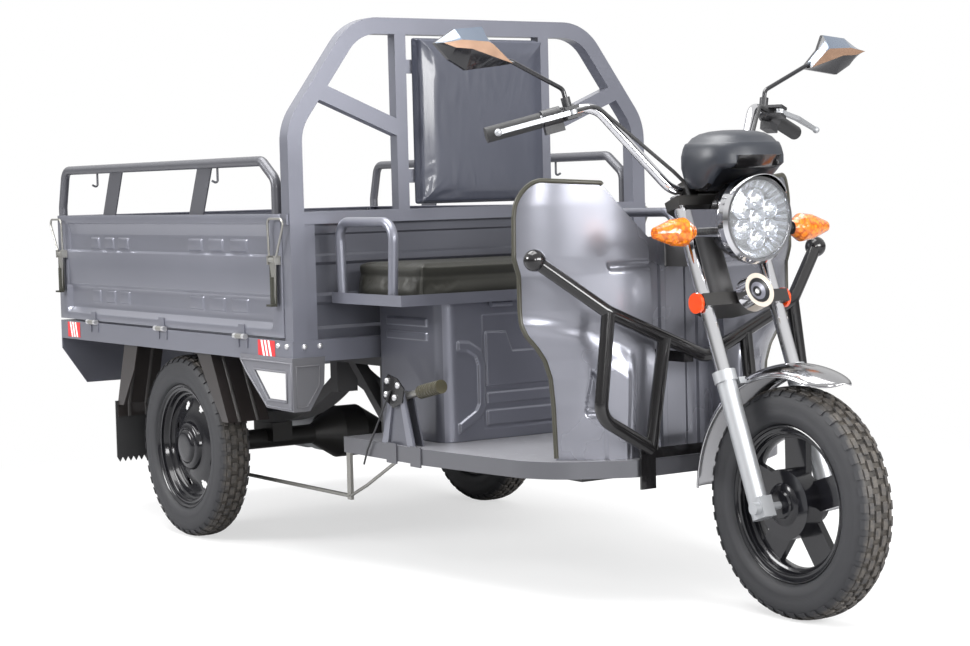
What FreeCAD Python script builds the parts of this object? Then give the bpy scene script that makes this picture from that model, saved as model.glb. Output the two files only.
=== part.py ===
import FreeCAD, Part
import math
import os
import Sketcher
from FreeCAD import Placement, Rotation, Vector

# Electric cargo tricycle: a tipping-gate cargo bed over the rear axle, a rider's deck with a seat box,
# and a raked motorcycle fork in front. Millimetres, X forward, Y to the left, Z up from the ground.
# X is counted from the rear axle while modelling; the written pieces are shifted so that the whole
# vehicle is centred on the origin.

doc = FreeCAD.newDocument("cargo_tricycle")
sheet = doc.addObject("Spreadsheet::Sheet", "Sizes")
listed = []


class Size:
    """A length that carries its value and the spreadsheet formula it comes from."""

    def __init__(self, text, value):
        self.text = text
        self.value = value

    def __float__(self):
        return float(self.value)

    def __add__(self, other):
        other = sized(other)
        return Size("(%s + %s)" % (self.text, other.text), self.value + other.value)

    def __sub__(self, other):
        other = sized(other)
        return Size("(%s - %s)" % (self.text, other.text), self.value - other.value)

    def __mul__(self, other):
        other = sized(other)
        return Size("(%s * %s)" % (self.text, other.text), self.value * other.value)

    def __truediv__(self, other):
        other = sized(other)
        return Size("(%s / %s)" % (self.text, other.text), self.value / other.value)

    def __neg__(self):
        return Size("(0 - %s)" % self.text, -self.value)

    def __radd__(self, other):
        return sized(other) + self

    def __rsub__(self, other):
        return sized(other) - self

    def __rmul__(self, other):
        return sized(other) * self


def sized(value):
    """Take a size as it is and turn a plain count into one."""
    if isinstance(value, Size):
        return value
    return Size(repr(value), float(value))


class Listed:
    """Reads a named size from the sheet."""

    def __getattr__(self, name):
        return Size("Sizes." + name, float(sheet.get(name)))


S = Listed()


def sizes(**rows):
    """Add named rows to the sheet."""
    for name, value in rows.items():
        listed.append(name)
        row = str(len(listed))
        sheet.set("A" + row, name)
        sheet.set("B" + row, str(value))
        sheet.setAlias("B" + row, name)
    sheet.recompute()


def bind(obj, prop, value):
    """Bind a property of an object to the sheet."""
    value = sized(value)
    obj.setExpression(prop, value.text)


TURNS = {
    "z": Rotation(),
    "x": Rotation(Vector(0, 1, 0), 90),
    "y": Rotation(Vector(1, 0, 0), -90),
    "-x": Rotation(Vector(0, 1, 0), -90),
    "-y": Rotation(Vector(1, 0, 0), 90),
    "-z": Rotation(Vector(1, 0, 0), 180),
}


def seat(obj, at, axis="z", lean=None):
    """Put an object in its place, its own Z along the axis, or leaned about Y by an angle."""
    obj.Placement = Placement(Vector(), TURNS[axis])
    if lean is not None:
        obj.Placement = Placement(Vector(), Rotation(Vector(0, 1, 0), float(lean)))
        bind(obj, "Placement.Rotation.Angle", lean)
    for letter, value in zip("xyz", at):
        bind(obj, "Placement.Base." + letter, value)
    return obj


def box(low, high):
    """A block between two corners."""
    obj = doc.addObject("Part::Box", "block")
    for prop, start, end in zip(("Length", "Width", "Height"), low, high):
        bind(obj, prop, sized(end) - start)
    return seat(obj, low)


def rod(radius, length, at, axis="z", lean=None):
    """A round bar from a point along an axis."""
    obj = doc.addObject("Part::Cylinder", "bar")
    bind(obj, "Radius", radius)
    bind(obj, "Height", length)
    return seat(obj, at, axis, lean)


def ball(radius, at):
    obj = doc.addObject("Part::Sphere", "ball")
    bind(obj, "Radius", radius)
    return seat(obj, at)


def cut(base, *tools):
    """Take the tools out of the base."""
    for tool in tools:
        obj = doc.addObject("Part::Cut", "cut")
        obj.Base = base
        obj.Tool = tool
        base = obj
    return base


def fuse(*parts):
    obj = doc.addObject("Part::MultiFuse", "union")
    obj.Shapes = list(parts)
    return obj


def group(*parts):
    """Solids that stay apart within one piece."""
    obj = doc.addObject("Part::Compound", "group")
    obj.Links = list(parts)
    return obj


def mirrored(part):
    """The same thing on the other side of the vehicle."""
    obj = doc.addObject("Part::Mirroring", "mirrored")
    obj.Source = part
    obj.Normal = Vector(0, 1, 0)
    return obj


def moved(part, at=(0, 0, 0), axis="z", lean=None):
    """A group of pieces put in place as one."""
    return seat(group(part), at, axis, lean)


def draw(sketch, rings):
    """Draw closed rings of straight lines, each corner held by two sheet-bound distances."""
    for ring in rings:
        ring = [(sized(u), sized(v)) for u, v in ring]
        first = sketch.GeometryCount
        spots = [Vector(float(u), float(v), 0) for u, v in ring]
        for start, end in zip(spots, spots[1:] + spots[:1]):
            sketch.addGeometry(Part.LineSegment(start, end), False)
        for step in range(len(ring)):
            after = first + (step + 1) % len(ring)
            sketch.addConstraint(Sketcher.Constraint("Coincident", first + step, 2, after, 1))
        for step, (u, v) in enumerate(ring):
            for kind, value in (("DistanceX", u), ("DistanceY", v)):
                held = Sketcher.Constraint(kind, -1, 1, first + step, 1, float(value))
                index = sketch.addConstraint(held)
                bind(sketch, "Constraints[%d]" % index, value)


def sketched(role, rings):
    """A body with one sketch on one of its own origin planes."""
    body = doc.addObject("PartDesign::Body", "body")
    sketch = body.newObject("Sketcher::SketchObject", "profile")
    plane = [item for item in body.Origin.OriginFeatures if item.Role == role][0]
    sketch.AttachmentSupport = [(plane, "")]
    sketch.MapMode = "FlatFace"
    sketch.recompute()
    draw(sketch, rings)
    return body, sketch


def plate(role, rings, thick, at, axis="z", lean=None):
    """A flat outline padded to a thickness: XY grows up, XZ grows to the left, YZ grows forward."""
    body, sketch = sketched(role, rings)
    pad = body.newObject("PartDesign::Pad", "pad")
    pad.Profile = sketch
    bind(pad, "Length", thick)
    pad.Reversed = role == "XZ_Plane"
    body.Tip = pad
    return seat(body, at, axis, lean)


def turned(ring, at, axis):
    """A profile of radius and height turned about its own Z axis."""
    body, sketch = sketched("XZ_Plane", [ring])
    turn = body.newObject("PartDesign::Revolution", "turn")
    turn.Profile = sketch
    turn.ReferenceAxis = (sketch, ["V_Axis"])
    turn.Angle = 360
    body.Tip = turn
    return seat(body, at, axis)


def rounded(body, radius, pick):
    """Round the edges of a body whose middle point passes the test."""
    body.recompute(True)
    tip = body.Tip
    chosen = []
    for number, edge in enumerate(tip.Shape.Edges, 1):
        middle = edge.valueAt((edge.FirstParameter + edge.LastParameter) / 2)
        if pick(edge, middle):
            chosen.append("Edge%d" % number)
    fillet = body.newObject("PartDesign::Fillet", "rounding")
    fillet.Base = (tip, chosen)
    bind(fillet, "Radius", radius)
    body.Tip = fillet
    return body


def through(corners, flat):
    """Picks the edges that stand on these corners of an outline, on both sides of the middle."""
    spots = [(float(first), float(second)) for first, second in corners]

    def pick(edge, middle):
        seen = (middle.x, abs(middle.y)) if flat == "XY" else (abs(middle.y), middle.z)
        return any(abs(seen[0] - first) + abs(seen[1] - second) < float(S.seat_gap) for first,
                   second in spots)

    return pick


def upright(edge, middle):
    """True for a straight vertical edge."""
    ends = [vertex.Point for vertex in edge.Vertexes]
    return len(ends) == 2 and (ends[1] - ends[0]).getAngle(Vector(0, 0, 1)) in (0.0, math.pi)


def solid(shape):
    """Keep a shape that no standard feature makes, such as a tube bent in space."""
    obj = doc.addObject("Part::Feature", "formed")
    obj.Shape = shape
    return obj


def point(at):
    return Vector(*[float(value) for value in at])


def bent_path(points, bend):
    """Straight runs joined by tangent arcs of one bend radius."""
    spots = [point(at) for at in points]
    edges = []
    start = spots[0]
    for before, corner, after in zip(spots, spots[1:], spots[2:]):
        back = (before - corner).normalize()
        ahead = (after - corner).normalize()
        half = back.getAngle(ahead) / 2
        reach = float(bend) / math.tan(half)
        first = corner + back * reach
        last = corner + ahead * reach
        middle = (back + ahead).normalize()
        crown = corner + middle * (float(bend) / math.sin(half) - float(bend))
        edges.append(Part.LineSegment(start, first).toShape())
        edges.append(Part.Arc(first, crown, last).toShape())
        start = last
    edges.append(Part.LineSegment(start, spots[-1]).toShape())
    return Part.Wire(edges)


def tube(points, radius, bend):
    """A round bar bent along a path."""
    path = bent_path(points, bend)
    start = path.Edges[0]
    ring = Part.Circle(start.valueAt(start.FirstParameter), start.tangentAt(start.FirstParameter),
                       float(radius))
    swept = Part.BRepOffsetAPI.MakePipeShell(path)
    swept.add(Part.Wire([ring.toShape()]))
    swept.build()
    swept.makeSolid()
    return solid(swept.shape())


nodes = {}


def piece(name, obj):
    """Hand a finished piece its name."""
    obj.Label = name
    nodes[name] = obj
    return obj


# Overall layout
sizes(
    wheelbase=1880, tyre_radius=245, tyre_width=92, track_half=466, rear_reach=735,
    axle_shift="=(rear_reach - wheelbase - tyre_radius) / 2",
    running_gap=0.05, seat_gap=0.2, overrun=5,
    rake=21.2, rake_back="=0 - rake",
)

# Wheels: hollow tyres with rib grooves, black steel rims. The rear rims are vented discs with a domed
# hub, the front rim has broad spokes round a drum hub.
sizes(
    bead_radius=152, bead_half=30, shoulder_radius=205, edge_radius=236, crown_half=30,
    side_low_radius=174, side_low_half=43, carcass_radius=226, carcass_half=34, carcass_low_radius=186,
    bead_clear=1.5, bead_toe=8,
    groove_spot=13, groove_width=6, groove_depth=6,
    flange_radius=166, flange_half=36, flange_thick=5, rim_seat_radius=151.5, well_radius=144,
    disc_thick=6, disc_inset=4, hub_radius=62, hub_rise=26, hub_cap_radius=44, hub_cap_rise=36,
    stub_radius=20, stub_depth=24, boss_radius=38, boss_back=34,
    vent_radius=13, vent_circle=112, front_hub_radius=46, front_drum_radius=74, front_hub_half=44,
    spoke_width=64, spoke_thick=16, front_axle_radius=8,
)
VENTS = 8
SPOKES = 5


def tyre(at):
    low = S.groove_spot - S.groove_width / 2
    high = S.groove_spot + S.groove_width / 2
    floor = S.tyre_radius - S.groove_depth
    half = [
        (S.tyre_radius, low), (floor, low), (floor, high), (S.tyre_radius, high),
        (S.tyre_radius - S.groove_depth / 2, S.crown_half), (S.edge_radius, S.crown_half + S.groove_width),
        (S.shoulder_radius, S.tyre_width / 2), (S.side_low_radius, S.side_low_half),
        (S.flange_radius + S.bead_clear, S.bead_half), (S.bead_radius, S.bead_half),
        (S.bead_radius, S.bead_half - S.bead_toe), (S.carcass_low_radius, S.carcass_half),
        (S.carcass_radius, S.carcass_half),
    ]
    other = [(radius, -spot) for radius, spot in reversed(half)]
    return turned(half + other, at, "y")


def rear_rim(at):
    hole = S.stub_radius + S.running_gap
    ring = [
        (S.flange_radius, S.flange_half), (S.flange_radius, S.flange_half - S.flange_thick),
        (S.rim_seat_radius, S.flange_half - S.flange_thick),
        (S.rim_seat_radius, S.flange_thick - S.flange_half),
        (S.flange_radius, S.flange_thick - S.flange_half), (S.flange_radius, -S.flange_half),
        (S.well_radius, -S.flange_half), (S.well_radius, -S.disc_inset - S.disc_thick),
        (S.boss_radius, -S.disc_inset - S.disc_thick), (S.boss_radius, -S.boss_back), (hole, -S.boss_back),
        (hole, S.stub_depth + S.seat_gap), (0, S.stub_depth + S.seat_gap), (0, S.hub_cap_rise),
        (S.hub_cap_radius, S.hub_cap_rise), (S.hub_radius, S.hub_rise), (S.hub_radius, -S.disc_inset),
        (S.well_radius, -S.disc_inset), (S.well_radius, S.flange_half),
    ]
    vents = []
    for step in range(VENTS):
        angle = math.radians(360 * step / VENTS)
        spot = (S.vent_circle * math.cos(angle), S.vent_circle * math.sin(angle), -S.flange_half)
        vents.append(rod(S.vent_radius, S.flange_half, spot))
    return moved(cut(turned(ring, (0, 0, 0), "z"), group(*vents)), at, "y")


rear_wheel_at = (0, S.track_half, S.tyre_radius)
left_tyre = tyre(rear_wheel_at)
piece("rear_tyre_left", left_tyre)
piece("rear_tyre_right", mirrored(left_tyre))
left_rim = rear_rim(rear_wheel_at)
piece("rear_rim_left", left_rim)
piece("rear_rim_right", mirrored(left_rim))

front_wheel_at = (S.wheelbase, 0, S.tyre_radius)
piece("front_tyre", tyre(front_wheel_at))
barrel = turned([
    (S.flange_radius, S.flange_half), (S.flange_radius, S.flange_half - S.flange_thick),
    (S.rim_seat_radius, S.flange_half - S.flange_thick), (S.rim_seat_radius, S.flange_thick - S.flange_half),
    (S.flange_radius, S.flange_thick - S.flange_half), (S.flange_radius, -S.flange_half),
    (S.well_radius, -S.flange_half), (S.well_radius, S.flange_half),
], front_wheel_at, "y")
hub = turned([
    (S.front_axle_radius + S.running_gap, -S.front_hub_half), (S.front_drum_radius, -S.front_hub_half),
    (S.front_drum_radius, 0), (S.front_hub_radius, S.spoke_thick),
    (S.front_hub_radius, S.front_hub_half), (S.front_axle_radius + S.running_gap, S.front_hub_half),
], front_wheel_at, "y")
spokes = []
for step in range(SPOKES):
    arm = box((-S.spoke_width / 2, -S.spoke_thick / 2, S.front_hub_radius - S.overrun),
              (S.spoke_width / 2, S.spoke_thick / 2, S.well_radius + S.disc_inset))
    spokes.append(moved(arm, front_wheel_at, lean=sized(360 * step / SPOKES)))
piece("front_rim", fuse(barrel, hub, *spokes))

# Rear axle: tube, differential, brake drums and spring pads in one casting, with the motor on its nose.
sizes(
    axle_tube_radius=27, drum_radius=92, drum_inner=372, drum_outer=424, diff_radius=72, diff_half=70,
    diff_neck_half=110, spring_spot=230, spring_width=60, pad_length=110, pad_top=292, pad_low=240,
    motor_radius=66, motor_waist=5, motor_length=190, motor_reach=78,
    drum_lever_length=92, drum_lever_width=22, drum_lever_thick=8, drum_lever_front=52,
    drum_lever_low=150,
)
MOTOR_SHARES = (0.3, 0.34, 0.62, 0.66, 0.94)
housing = turned([
    (0, 0), (S.diff_radius, 0), (S.diff_radius, S.diff_half / 2), (S.axle_tube_radius, S.diff_neck_half),
    (S.axle_tube_radius, S.drum_inner), (S.drum_radius, S.drum_inner), (S.drum_radius, S.drum_outer),
    (S.stub_radius, S.drum_outer), (S.stub_radius, S.track_half + S.stub_depth),
    (0, S.track_half + S.stub_depth),
], (0, 0, S.tyre_radius), "y")
pad = box((-S.pad_length / 2, S.spring_spot - S.spring_width / 2, S.pad_low),
          (S.pad_length / 2, S.spring_spot + S.spring_width / 2, S.pad_top))
lever = box((S.drum_lever_front - S.drum_lever_width, S.drum_inner - S.drum_lever_thick, S.drum_lever_low),
            (S.drum_lever_front, S.drum_inner, S.drum_lever_low + S.drum_lever_length))
nose = rod(S.motor_radius - S.motor_waist, S.motor_reach, (0, 0, S.tyre_radius), "-x")
half_housing = fuse(housing, pad, lever)
piece("rear_axle_housing", fuse(half_housing, mirrored(half_housing), nose))
fins = turned([
    (0, 0), (S.motor_radius, 0), (S.motor_radius, S.motor_length * MOTOR_SHARES[0]),
    (S.motor_radius - S.motor_waist, S.motor_length * MOTOR_SHARES[1]),
    (S.motor_radius - S.motor_waist, S.motor_length * MOTOR_SHARES[2]),
    (S.motor_radius, S.motor_length * MOTOR_SHARES[3]), (S.motor_radius, S.motor_length * MOTOR_SHARES[4]),
    (S.motor_radius - 2 * S.motor_waist, S.motor_length), (0, S.motor_length),
], (-S.motor_reach, 0, S.tyre_radius), "-x")
piece("drive_motor", fins)

# Cargo bed: a pressed tray whose side channels carry the gates, on two rails with cross members.
sizes(
    bed_rear=707, bed_front=698, bed_half=544, bed_low=509, bed_top=562, bed_sheet=3, floor_rise=3,
    floor_inset=32,
    floor_front=48,
    rail_spot=230, rail_width=60, rail_low=480, rail_rear=690, rail_front=690,
    cross_low=526, cross_width=40, cross_spot=450, column_rear=630, deck_low=272,
    deck_top=320, deck_sheet=4, deck_rail_front=1470, riser_rear=1440, riser_half=26, riser_top=800,
    neck_low=735, neck_half=22, neck_front=1600,
    head_offset=63, head_radius=26, head_low=478, head_length=180, stem_radius=14,
    hanger_low=400, hanger_length=36, leaf_thick_middle=29, spring_half=380, brace_width=34, brace_top_x=420,
    brace_low_x=632,
    brace_low=310, valance_low=372, valance_thick=4, valance_half=470,
)
tray = box((-S.bed_rear, -S.bed_half, S.bed_low), (S.bed_front, S.bed_half, S.bed_top))
under = box((S.bed_sheet - S.bed_rear, S.bed_sheet - S.bed_half, S.bed_low - S.overrun),
            (S.bed_front - S.bed_sheet, S.bed_half - S.bed_sheet, S.bed_top - S.bed_sheet))
valance = plate("YZ_Plane", [[
    (-S.bed_half, S.bed_low), (S.bed_half, S.bed_low), (S.bed_half, S.bed_low - S.rail_width / 2),
    (S.valance_half, S.valance_low), (-S.valance_half, S.valance_low),
    (-S.bed_half, S.bed_low - S.rail_width / 2),
]], S.valance_thick, (-S.bed_rear, 0, 0))
raised = box((S.floor_inset - S.bed_rear, S.floor_inset - S.bed_half, S.bed_top - S.bed_sheet),
             (S.bed_front - S.floor_front, S.bed_half - S.floor_inset, S.bed_top + S.floor_rise))
piece("cargo_floor", fuse(cut(tray, under), raised, valance))

inner_top = S.bed_top - S.bed_sheet
rail_in = S.rail_spot - S.rail_width / 2
rail_out = S.rail_spot + S.rail_width / 2
deck_under = S.deck_top - S.deck_sheet
bed_rail = box((-S.rail_rear, rail_in, S.rail_low), (S.rail_front, rail_out, inner_top))
column = box((S.column_rear, rail_in, S.deck_low), (S.rail_front, rail_out, S.rail_low + S.overrun))
deck_rail = box((S.column_rear, rail_in, S.deck_low), (S.deck_rail_front, rail_out, deck_under))
hangers = []
for end in (-1, 1):
    near = S.spring_half + S.seat_gap
    far = near + S.hanger_length
    first = near if end > 0 else -far
    hangers.append(box((first, rail_in, S.hanger_low),
                       (first + S.hanger_length, rail_out, S.rail_low + S.overrun)))
brace = plate("XZ_Plane", [[
    (S.brace_top_x, S.rail_low + S.overrun), (S.brace_top_x + S.brace_width, S.rail_low + S.overrun),
    (S.brace_low_x + S.brace_width / 2, S.brace_low),
    (S.brace_low_x + S.brace_width / 2, S.brace_low - S.brace_width),
]], S.brace_width, (0, rail_in, 0))
side_frame = fuse(bed_rail, column, deck_rail, brace, *hangers)
crosses = []
for spot in (-S.cross_spot, S.cross_spot):
    reach = S.bed_half - S.bed_sheet
    crosses.append(box((spot, -reach, S.cross_low), (spot + S.cross_width, reach, inner_top)))
tie = box((S.deck_rail_front - S.cross_width, -rail_in - S.overrun, S.deck_low),
          (S.deck_rail_front, rail_in + S.overrun, deck_under))
back_tie = box((S.column_rear, -rail_in - S.overrun, S.deck_low),
               (S.column_rear + S.cross_width, rail_in + S.overrun, S.deck_low + S.cross_width))
riser = box((S.riser_rear, -S.riser_half, S.deck_low), (S.deck_rail_front, S.riser_half, S.riser_top))
neck = box((S.riser_rear, -S.neck_half, S.neck_low), (S.neck_front, S.neck_half, S.riser_top))
head = moved(rod(S.head_radius, S.head_length, (-S.head_offset, 0, S.head_low)), front_wheel_at,
             lean=S.rake_back)
bore = moved(rod(S.stem_radius + S.running_gap, S.head_length + 2 * S.overrun,
                 (-S.head_offset, 0, S.head_low - S.overrun)), front_wheel_at, lean=S.rake_back)
piece("chassis_frame", cut(fuse(side_frame, mirrored(side_frame), *crosses, tie, back_tie, riser, neck,
                                head), bore))


def leaf_spring():
    """A stack of leaves as one bow, lowest over the axle."""
    half = float(S.spring_half)
    low = float(S.pad_top)
    high = float(S.hanger_low)
    thick = float(S.leaf_thick_middle)
    lift = float(S.hanger_length)
    lower = Part.Arc(Vector(-half, 0, high), Vector(0, 0, low), Vector(half, 0, high)).toShape()
    upper = Part.Arc(Vector(half, 0, high + lift), Vector(0, 0, low + thick),
                     Vector(-half, 0, high + lift)).toShape()
    ends = [
        Part.LineSegment(Vector(half, 0, high), Vector(half, 0, high + lift)).toShape(),
        Part.LineSegment(Vector(-half, 0, high + lift), Vector(-half, 0, high)).toShape(),
    ]
    face = Part.Face(Part.Wire([lower, ends[0], upper, ends[1]]))
    bow = face.extrude(Vector(0, float(S.spring_width), 0))
    bow.translate(Vector(0, float(rail_in), 0))
    return solid(bow)


bow = leaf_spring()
piece("leaf_springs", group(bow, mirrored(bow)))

# Rider's deck: a folded sheet with a lip all round, open to the rear, notched for the steering riser.
sizes(
    deck_lip=38, deck_rear_half=405, deck_side_x=1040, deck_turn_x=1383, deck_turn_half=363, deck_nose_x=1465,
    deck_nose_half=320, deck_front=1560, deck_front_half=165, deck_round=150,
)
deck_rear = S.rail_front


def deck_ring(inset, rear):
    half = [
        (rear, S.deck_rear_half - inset), (S.deck_side_x, S.deck_rear_half - inset),
        (S.deck_turn_x - inset / 2, S.deck_turn_half - inset),
        (S.deck_nose_x - inset, S.deck_nose_half - inset),
        (S.deck_front - inset, S.deck_front_half - inset / 2),
    ]
    return half + [(x, -y) for x, y in reversed(half)]


def deck_block(inset, rear, low):
    """The deck's outline as a block with rounded turns, drawn in by an inset."""
    ring = deck_ring(inset, rear)
    block = plate("XY_Plane", [ring], S.deck_lip, (0, 0, low))
    return rounded(block, S.deck_round - inset, through(ring[1:len(ring) // 2], "XY"))


deck = deck_block(sized(0), deck_rear, S.deck_top - S.deck_lip)
hollow = deck_block(S.deck_sheet, deck_rear - S.overrun, S.deck_top - S.deck_lip - S.deck_sheet)
riser_hole = box((S.riser_rear, -S.riser_half, S.deck_low), (S.deck_rail_front, S.riser_half, S.riser_top))
piece("floor_deck", cut(deck, hollow, riser_hole))

# Seat box: a rounded sheet-metal box with pressed corner loops and ribs, hiding the battery. The seat
# pan's hinge pins stand off its front face.
sizes(
    box_rear=720, box_front=1000, box_half=310, box_top=650, box_wall=3, box_corner=40,
    press_depth=4, press_width=26, press_spot=235, press_inner=120, press_low=385, press_high=600,
    rib_half=88, rib_width=14, rib_low=415, rib_step=48,
    hinge_pin_radius=4, hinge_knuckle_radius=7, hinge_spot=150, hinge_half=16, hinge_end=14,
    seat_hinge_x=1012, hinge_play=0.3,
    battery_rear=745, battery_front=955, battery_half=215, battery_top=560,
)
RIBS = 4
shell, ring = sketched("XY_Plane", [[
    (S.box_rear, -S.box_half), (S.box_front, -S.box_half), (S.box_front, S.box_half),
    (S.box_rear, S.box_half),
]])
grow = shell.newObject("PartDesign::Pad", "pad")
grow.Profile = ring
bind(grow, "Length", S.box_top - S.deck_top)
shell.Tip = grow
box_face = float(S.box_front - S.box_wall)
rounded(shell, S.box_corner, lambda edge, middle: upright(edge, middle) and middle.x > box_face)
seat(shell, (0, 0, S.deck_top))
space = box((S.box_rear + S.box_wall, S.box_wall - S.box_half, S.deck_top - S.overrun),
            (S.box_front - S.box_wall, S.box_half - S.box_wall, S.box_top + S.overrun))
corner_posts = []
for side in (-1, 1):
    post = box((S.box_front - S.box_corner, side * (S.box_half - S.box_corner / 2) - S.box_corner / 2,
                S.deck_top),
               (S.box_front, side * (S.box_half - S.box_corner / 2) + S.box_corner / 2, S.box_top))
    corner_posts.append(post)
hollow_space = cut(space, *corner_posts)
pressed = []
for side in (-1, 1):
    for low in (S.press_low, S.press_high - S.press_width):
        first = S.press_inner if side > 0 else -S.press_spot
        pressed.append(box((S.box_front - S.box_wall, first, low),
                           (S.box_front + S.press_depth, first + S.press_spot - S.press_inner,
                            low + S.press_width)))
    first = S.press_spot - S.press_width if side > 0 else -S.press_spot
    pressed.append(box((S.box_front - S.box_wall, first, S.press_low),
                       (S.box_front + S.press_depth, first + S.press_width, S.press_high)))
for step in range(RIBS):
    low = S.rib_low + step * S.rib_step
    pressed.append(box((S.box_front - S.box_wall, -S.rib_half, low),
                       (S.box_front + S.press_depth, S.rib_half, low + S.rib_width)))


hinge_z = S.box_top - S.hinge_knuckle_radius - S.seat_gap


def knuckles(at, axis):
    """The pin and the two fixed knuckles of a hinge."""
    length = 2 * S.hinge_half + 2 * S.hinge_end
    parts = [rod(S.hinge_pin_radius, length, (0, 0, -length / 2))]
    for first in (S.hinge_half + S.hinge_play, -S.hinge_half - S.hinge_end):
        parts.append(rod(S.hinge_knuckle_radius, S.hinge_end - S.hinge_play, (0, 0, first)))
    return moved(group(fuse(*parts)), at, axis)


seat_hinges = []
for side in (-1, 1):
    at = (S.seat_hinge_x, side * S.hinge_spot, hinge_z)
    seat_hinges.append(knuckles(at, "y"))
    for end in (-1, 1):
        near = S.hinge_half + S.hinge_play
        first = at[1] + near if end > 0 else at[1] - S.hinge_half - S.hinge_end
        seat_hinges.append(box((S.box_front - S.box_wall, first, hinge_z - S.hinge_knuckle_radius),
                               (S.seat_hinge_x, first + S.hinge_end - S.hinge_play, hinge_z)))
piece("seat_box", fuse(cut(shell, hollow_space), *pressed, *seat_hinges))
piece("battery_pack", box((S.battery_rear, -S.battery_half, S.deck_top),
                          (S.battery_front, S.battery_half, S.battery_top)))

# Front cowl: two curved wings beside a recessed centre panel, with the steering neck passing through it.
sizes(
    cowl_rear=1425, cowl_seam_half=100, cowl_seam_x=1548, cowl_seam_top_x=1508, cowl_top=935, cowl_sheet=4,
    panel_x=1476, panel_top=803, cowl_foot_half=293, cowl_shin_z=483, cowl_shin_half=300, cowl_knee_z=563,
    cowl_knee_half=331, cowl_thigh_z=621, cowl_thigh_half=383, cowl_waist_z=697, cowl_waist_half=380,
    cowl_chest_z=758, cowl_chest_half=397, cowl_shoulder_z=806, cowl_shoulder_half=393, cowl_brow_half=388,
    cowl_side_half=401, cowl_crest_z=932, cowl_crest_round=80, cowl_notch_half=214, cowl_notch_z=924,
    cowl_dip_half=96, cowl_bulge=26, cowl_inner=5,
)
BULGE_SHARES = (0.4, 0.6)


def cowl_section(height, half):
    """One level of a wing in plan: a curved sheet from the outer edge to the seam, then its return."""
    share = (float(height) - float(S.deck_top)) / (float(S.cowl_top) - float(S.deck_top))
    edge = float(S.cowl_rear)
    nose = float(S.cowl_seam_x) + share * (float(S.cowl_seam_top_x) - float(S.cowl_seam_x))
    seam = float(S.cowl_seam_half)
    sheet_in = float(S.cowl_inner)
    back = float(S.panel_x)
    bulge = float(S.cowl_bulge) * (BULGE_SHARES[0] + share * BULGE_SHARES[1])
    half = float(half)
    z = float(height)
    middle = Vector((edge + nose) / 2 + bulge, (half + seam) / 2 + bulge, z)
    shift = Vector(-sheet_in, -sheet_in, 0)
    first = Vector(edge, half, z)
    last = Vector(nose, seam, z)
    inner_first = Vector(edge, half - 2 * sheet_in, z)
    inner_last = Vector(nose - 2 * sheet_in, seam + sheet_in, z)
    return Part.Wire([
        Part.Arc(first, middle, last).toShape(),
        Part.LineSegment(last, Vector(back, seam, z)).toShape(),
        Part.LineSegment(Vector(back, seam, z), Vector(back, seam + sheet_in, z)).toShape(),
        Part.LineSegment(Vector(back, seam + sheet_in, z), inner_last).toShape(),
        Part.Arc(inner_last, middle + shift, inner_first).toShape(),
        Part.LineSegment(inner_first, first).toShape(),
    ])


levels = [
    (S.deck_top, S.cowl_foot_half), (S.cowl_shin_z, S.cowl_shin_half), (S.cowl_knee_z, S.cowl_knee_half),
    (S.cowl_thigh_z, S.cowl_thigh_half), (S.cowl_waist_z, S.cowl_waist_half),
    (S.cowl_chest_z, S.cowl_chest_half),
    (S.cowl_shoulder_z, S.cowl_shoulder_half), (S.cowl_top, S.cowl_brow_half),
]
wing = solid(Part.makeLoft([cowl_section(height, half) for height, half in levels], True, True))
panel = box((S.panel_x, -S.cowl_seam_half - S.cowl_sheet, S.deck_top),
            (S.panel_x + S.cowl_sheet, S.cowl_seam_half + S.cowl_sheet, S.cowl_top))
crown = [
    (S.cowl_side_half, S.deck_top - S.overrun), (S.cowl_side_half, S.cowl_crest_z),
    (S.cowl_notch_half, S.cowl_notch_z), (S.cowl_dip_half, S.panel_top),
]
crown = crown + [(-y, z) for y, z in reversed(crown)]
trim = plate("YZ_Plane", [crown], S.deck_front - S.cowl_rear + 2 * S.overrun, (S.cowl_rear - S.overrun, 0, 0))
rounded(trim, S.cowl_crest_round, through(crown[1:2], "YZ"))
common = doc.addObject("Part::Common", "trimmed")
common.Base = fuse(wing, mirrored(wing), panel)
common.Tool = trim
neck_hole = box((S.riser_rear, -S.neck_half, S.neck_low), (S.neck_front, S.neck_half, S.riser_top))
piece("front_cowl", cut(common, neck_hole))

# Bull bar: gloss black tube in a wide V with ball ends, on two pairs of legs whose feet bolt to the deck lip.
sizes(
    bar_radius=15, bar_ball_radius=24, bar_bend=45, bar_end_x=1509, bar_end_half=401, bar_end_z=763,
    bar_knee_x=1580, bar_knee_half=262, bar_knee_z=648, bar_low_x=1586, bar_low_z=537, leg_x=1584,
    leg_half=292,
    leg_z=425, foot_x=1576, foot_half=150, foot_z=345, inner_leg_half=115, inner_leg_z=586, foot_low=256,
    foot_width=40, foot_plate=6, strap_low=528, strap_high=552, strap_near=36, strap_far=60, tie_low=322,
)
v_half = [(S.bar_end_x, S.bar_end_half, S.bar_end_z), (S.bar_knee_x, S.bar_knee_half, S.bar_knee_z)]
v_path = v_half + [(S.bar_low_x, 0, S.bar_low_z)] + [(x, -y, z) for x, y, z in reversed(v_half)]
v_bar = tube(v_path, S.bar_radius, S.bar_bend)
outer_leg = tube([(S.bar_knee_x, S.bar_knee_half, S.bar_knee_z), (S.leg_x, S.leg_half, S.leg_z),
                  (S.foot_x, S.foot_half, S.foot_z)], S.bar_radius, S.bar_bend)
inner_leg = tube([(S.bar_low_x, S.inner_leg_half, S.inner_leg_z), (S.foot_x, S.foot_half, S.foot_z)],
                 S.bar_radius, S.bar_bend)
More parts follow.
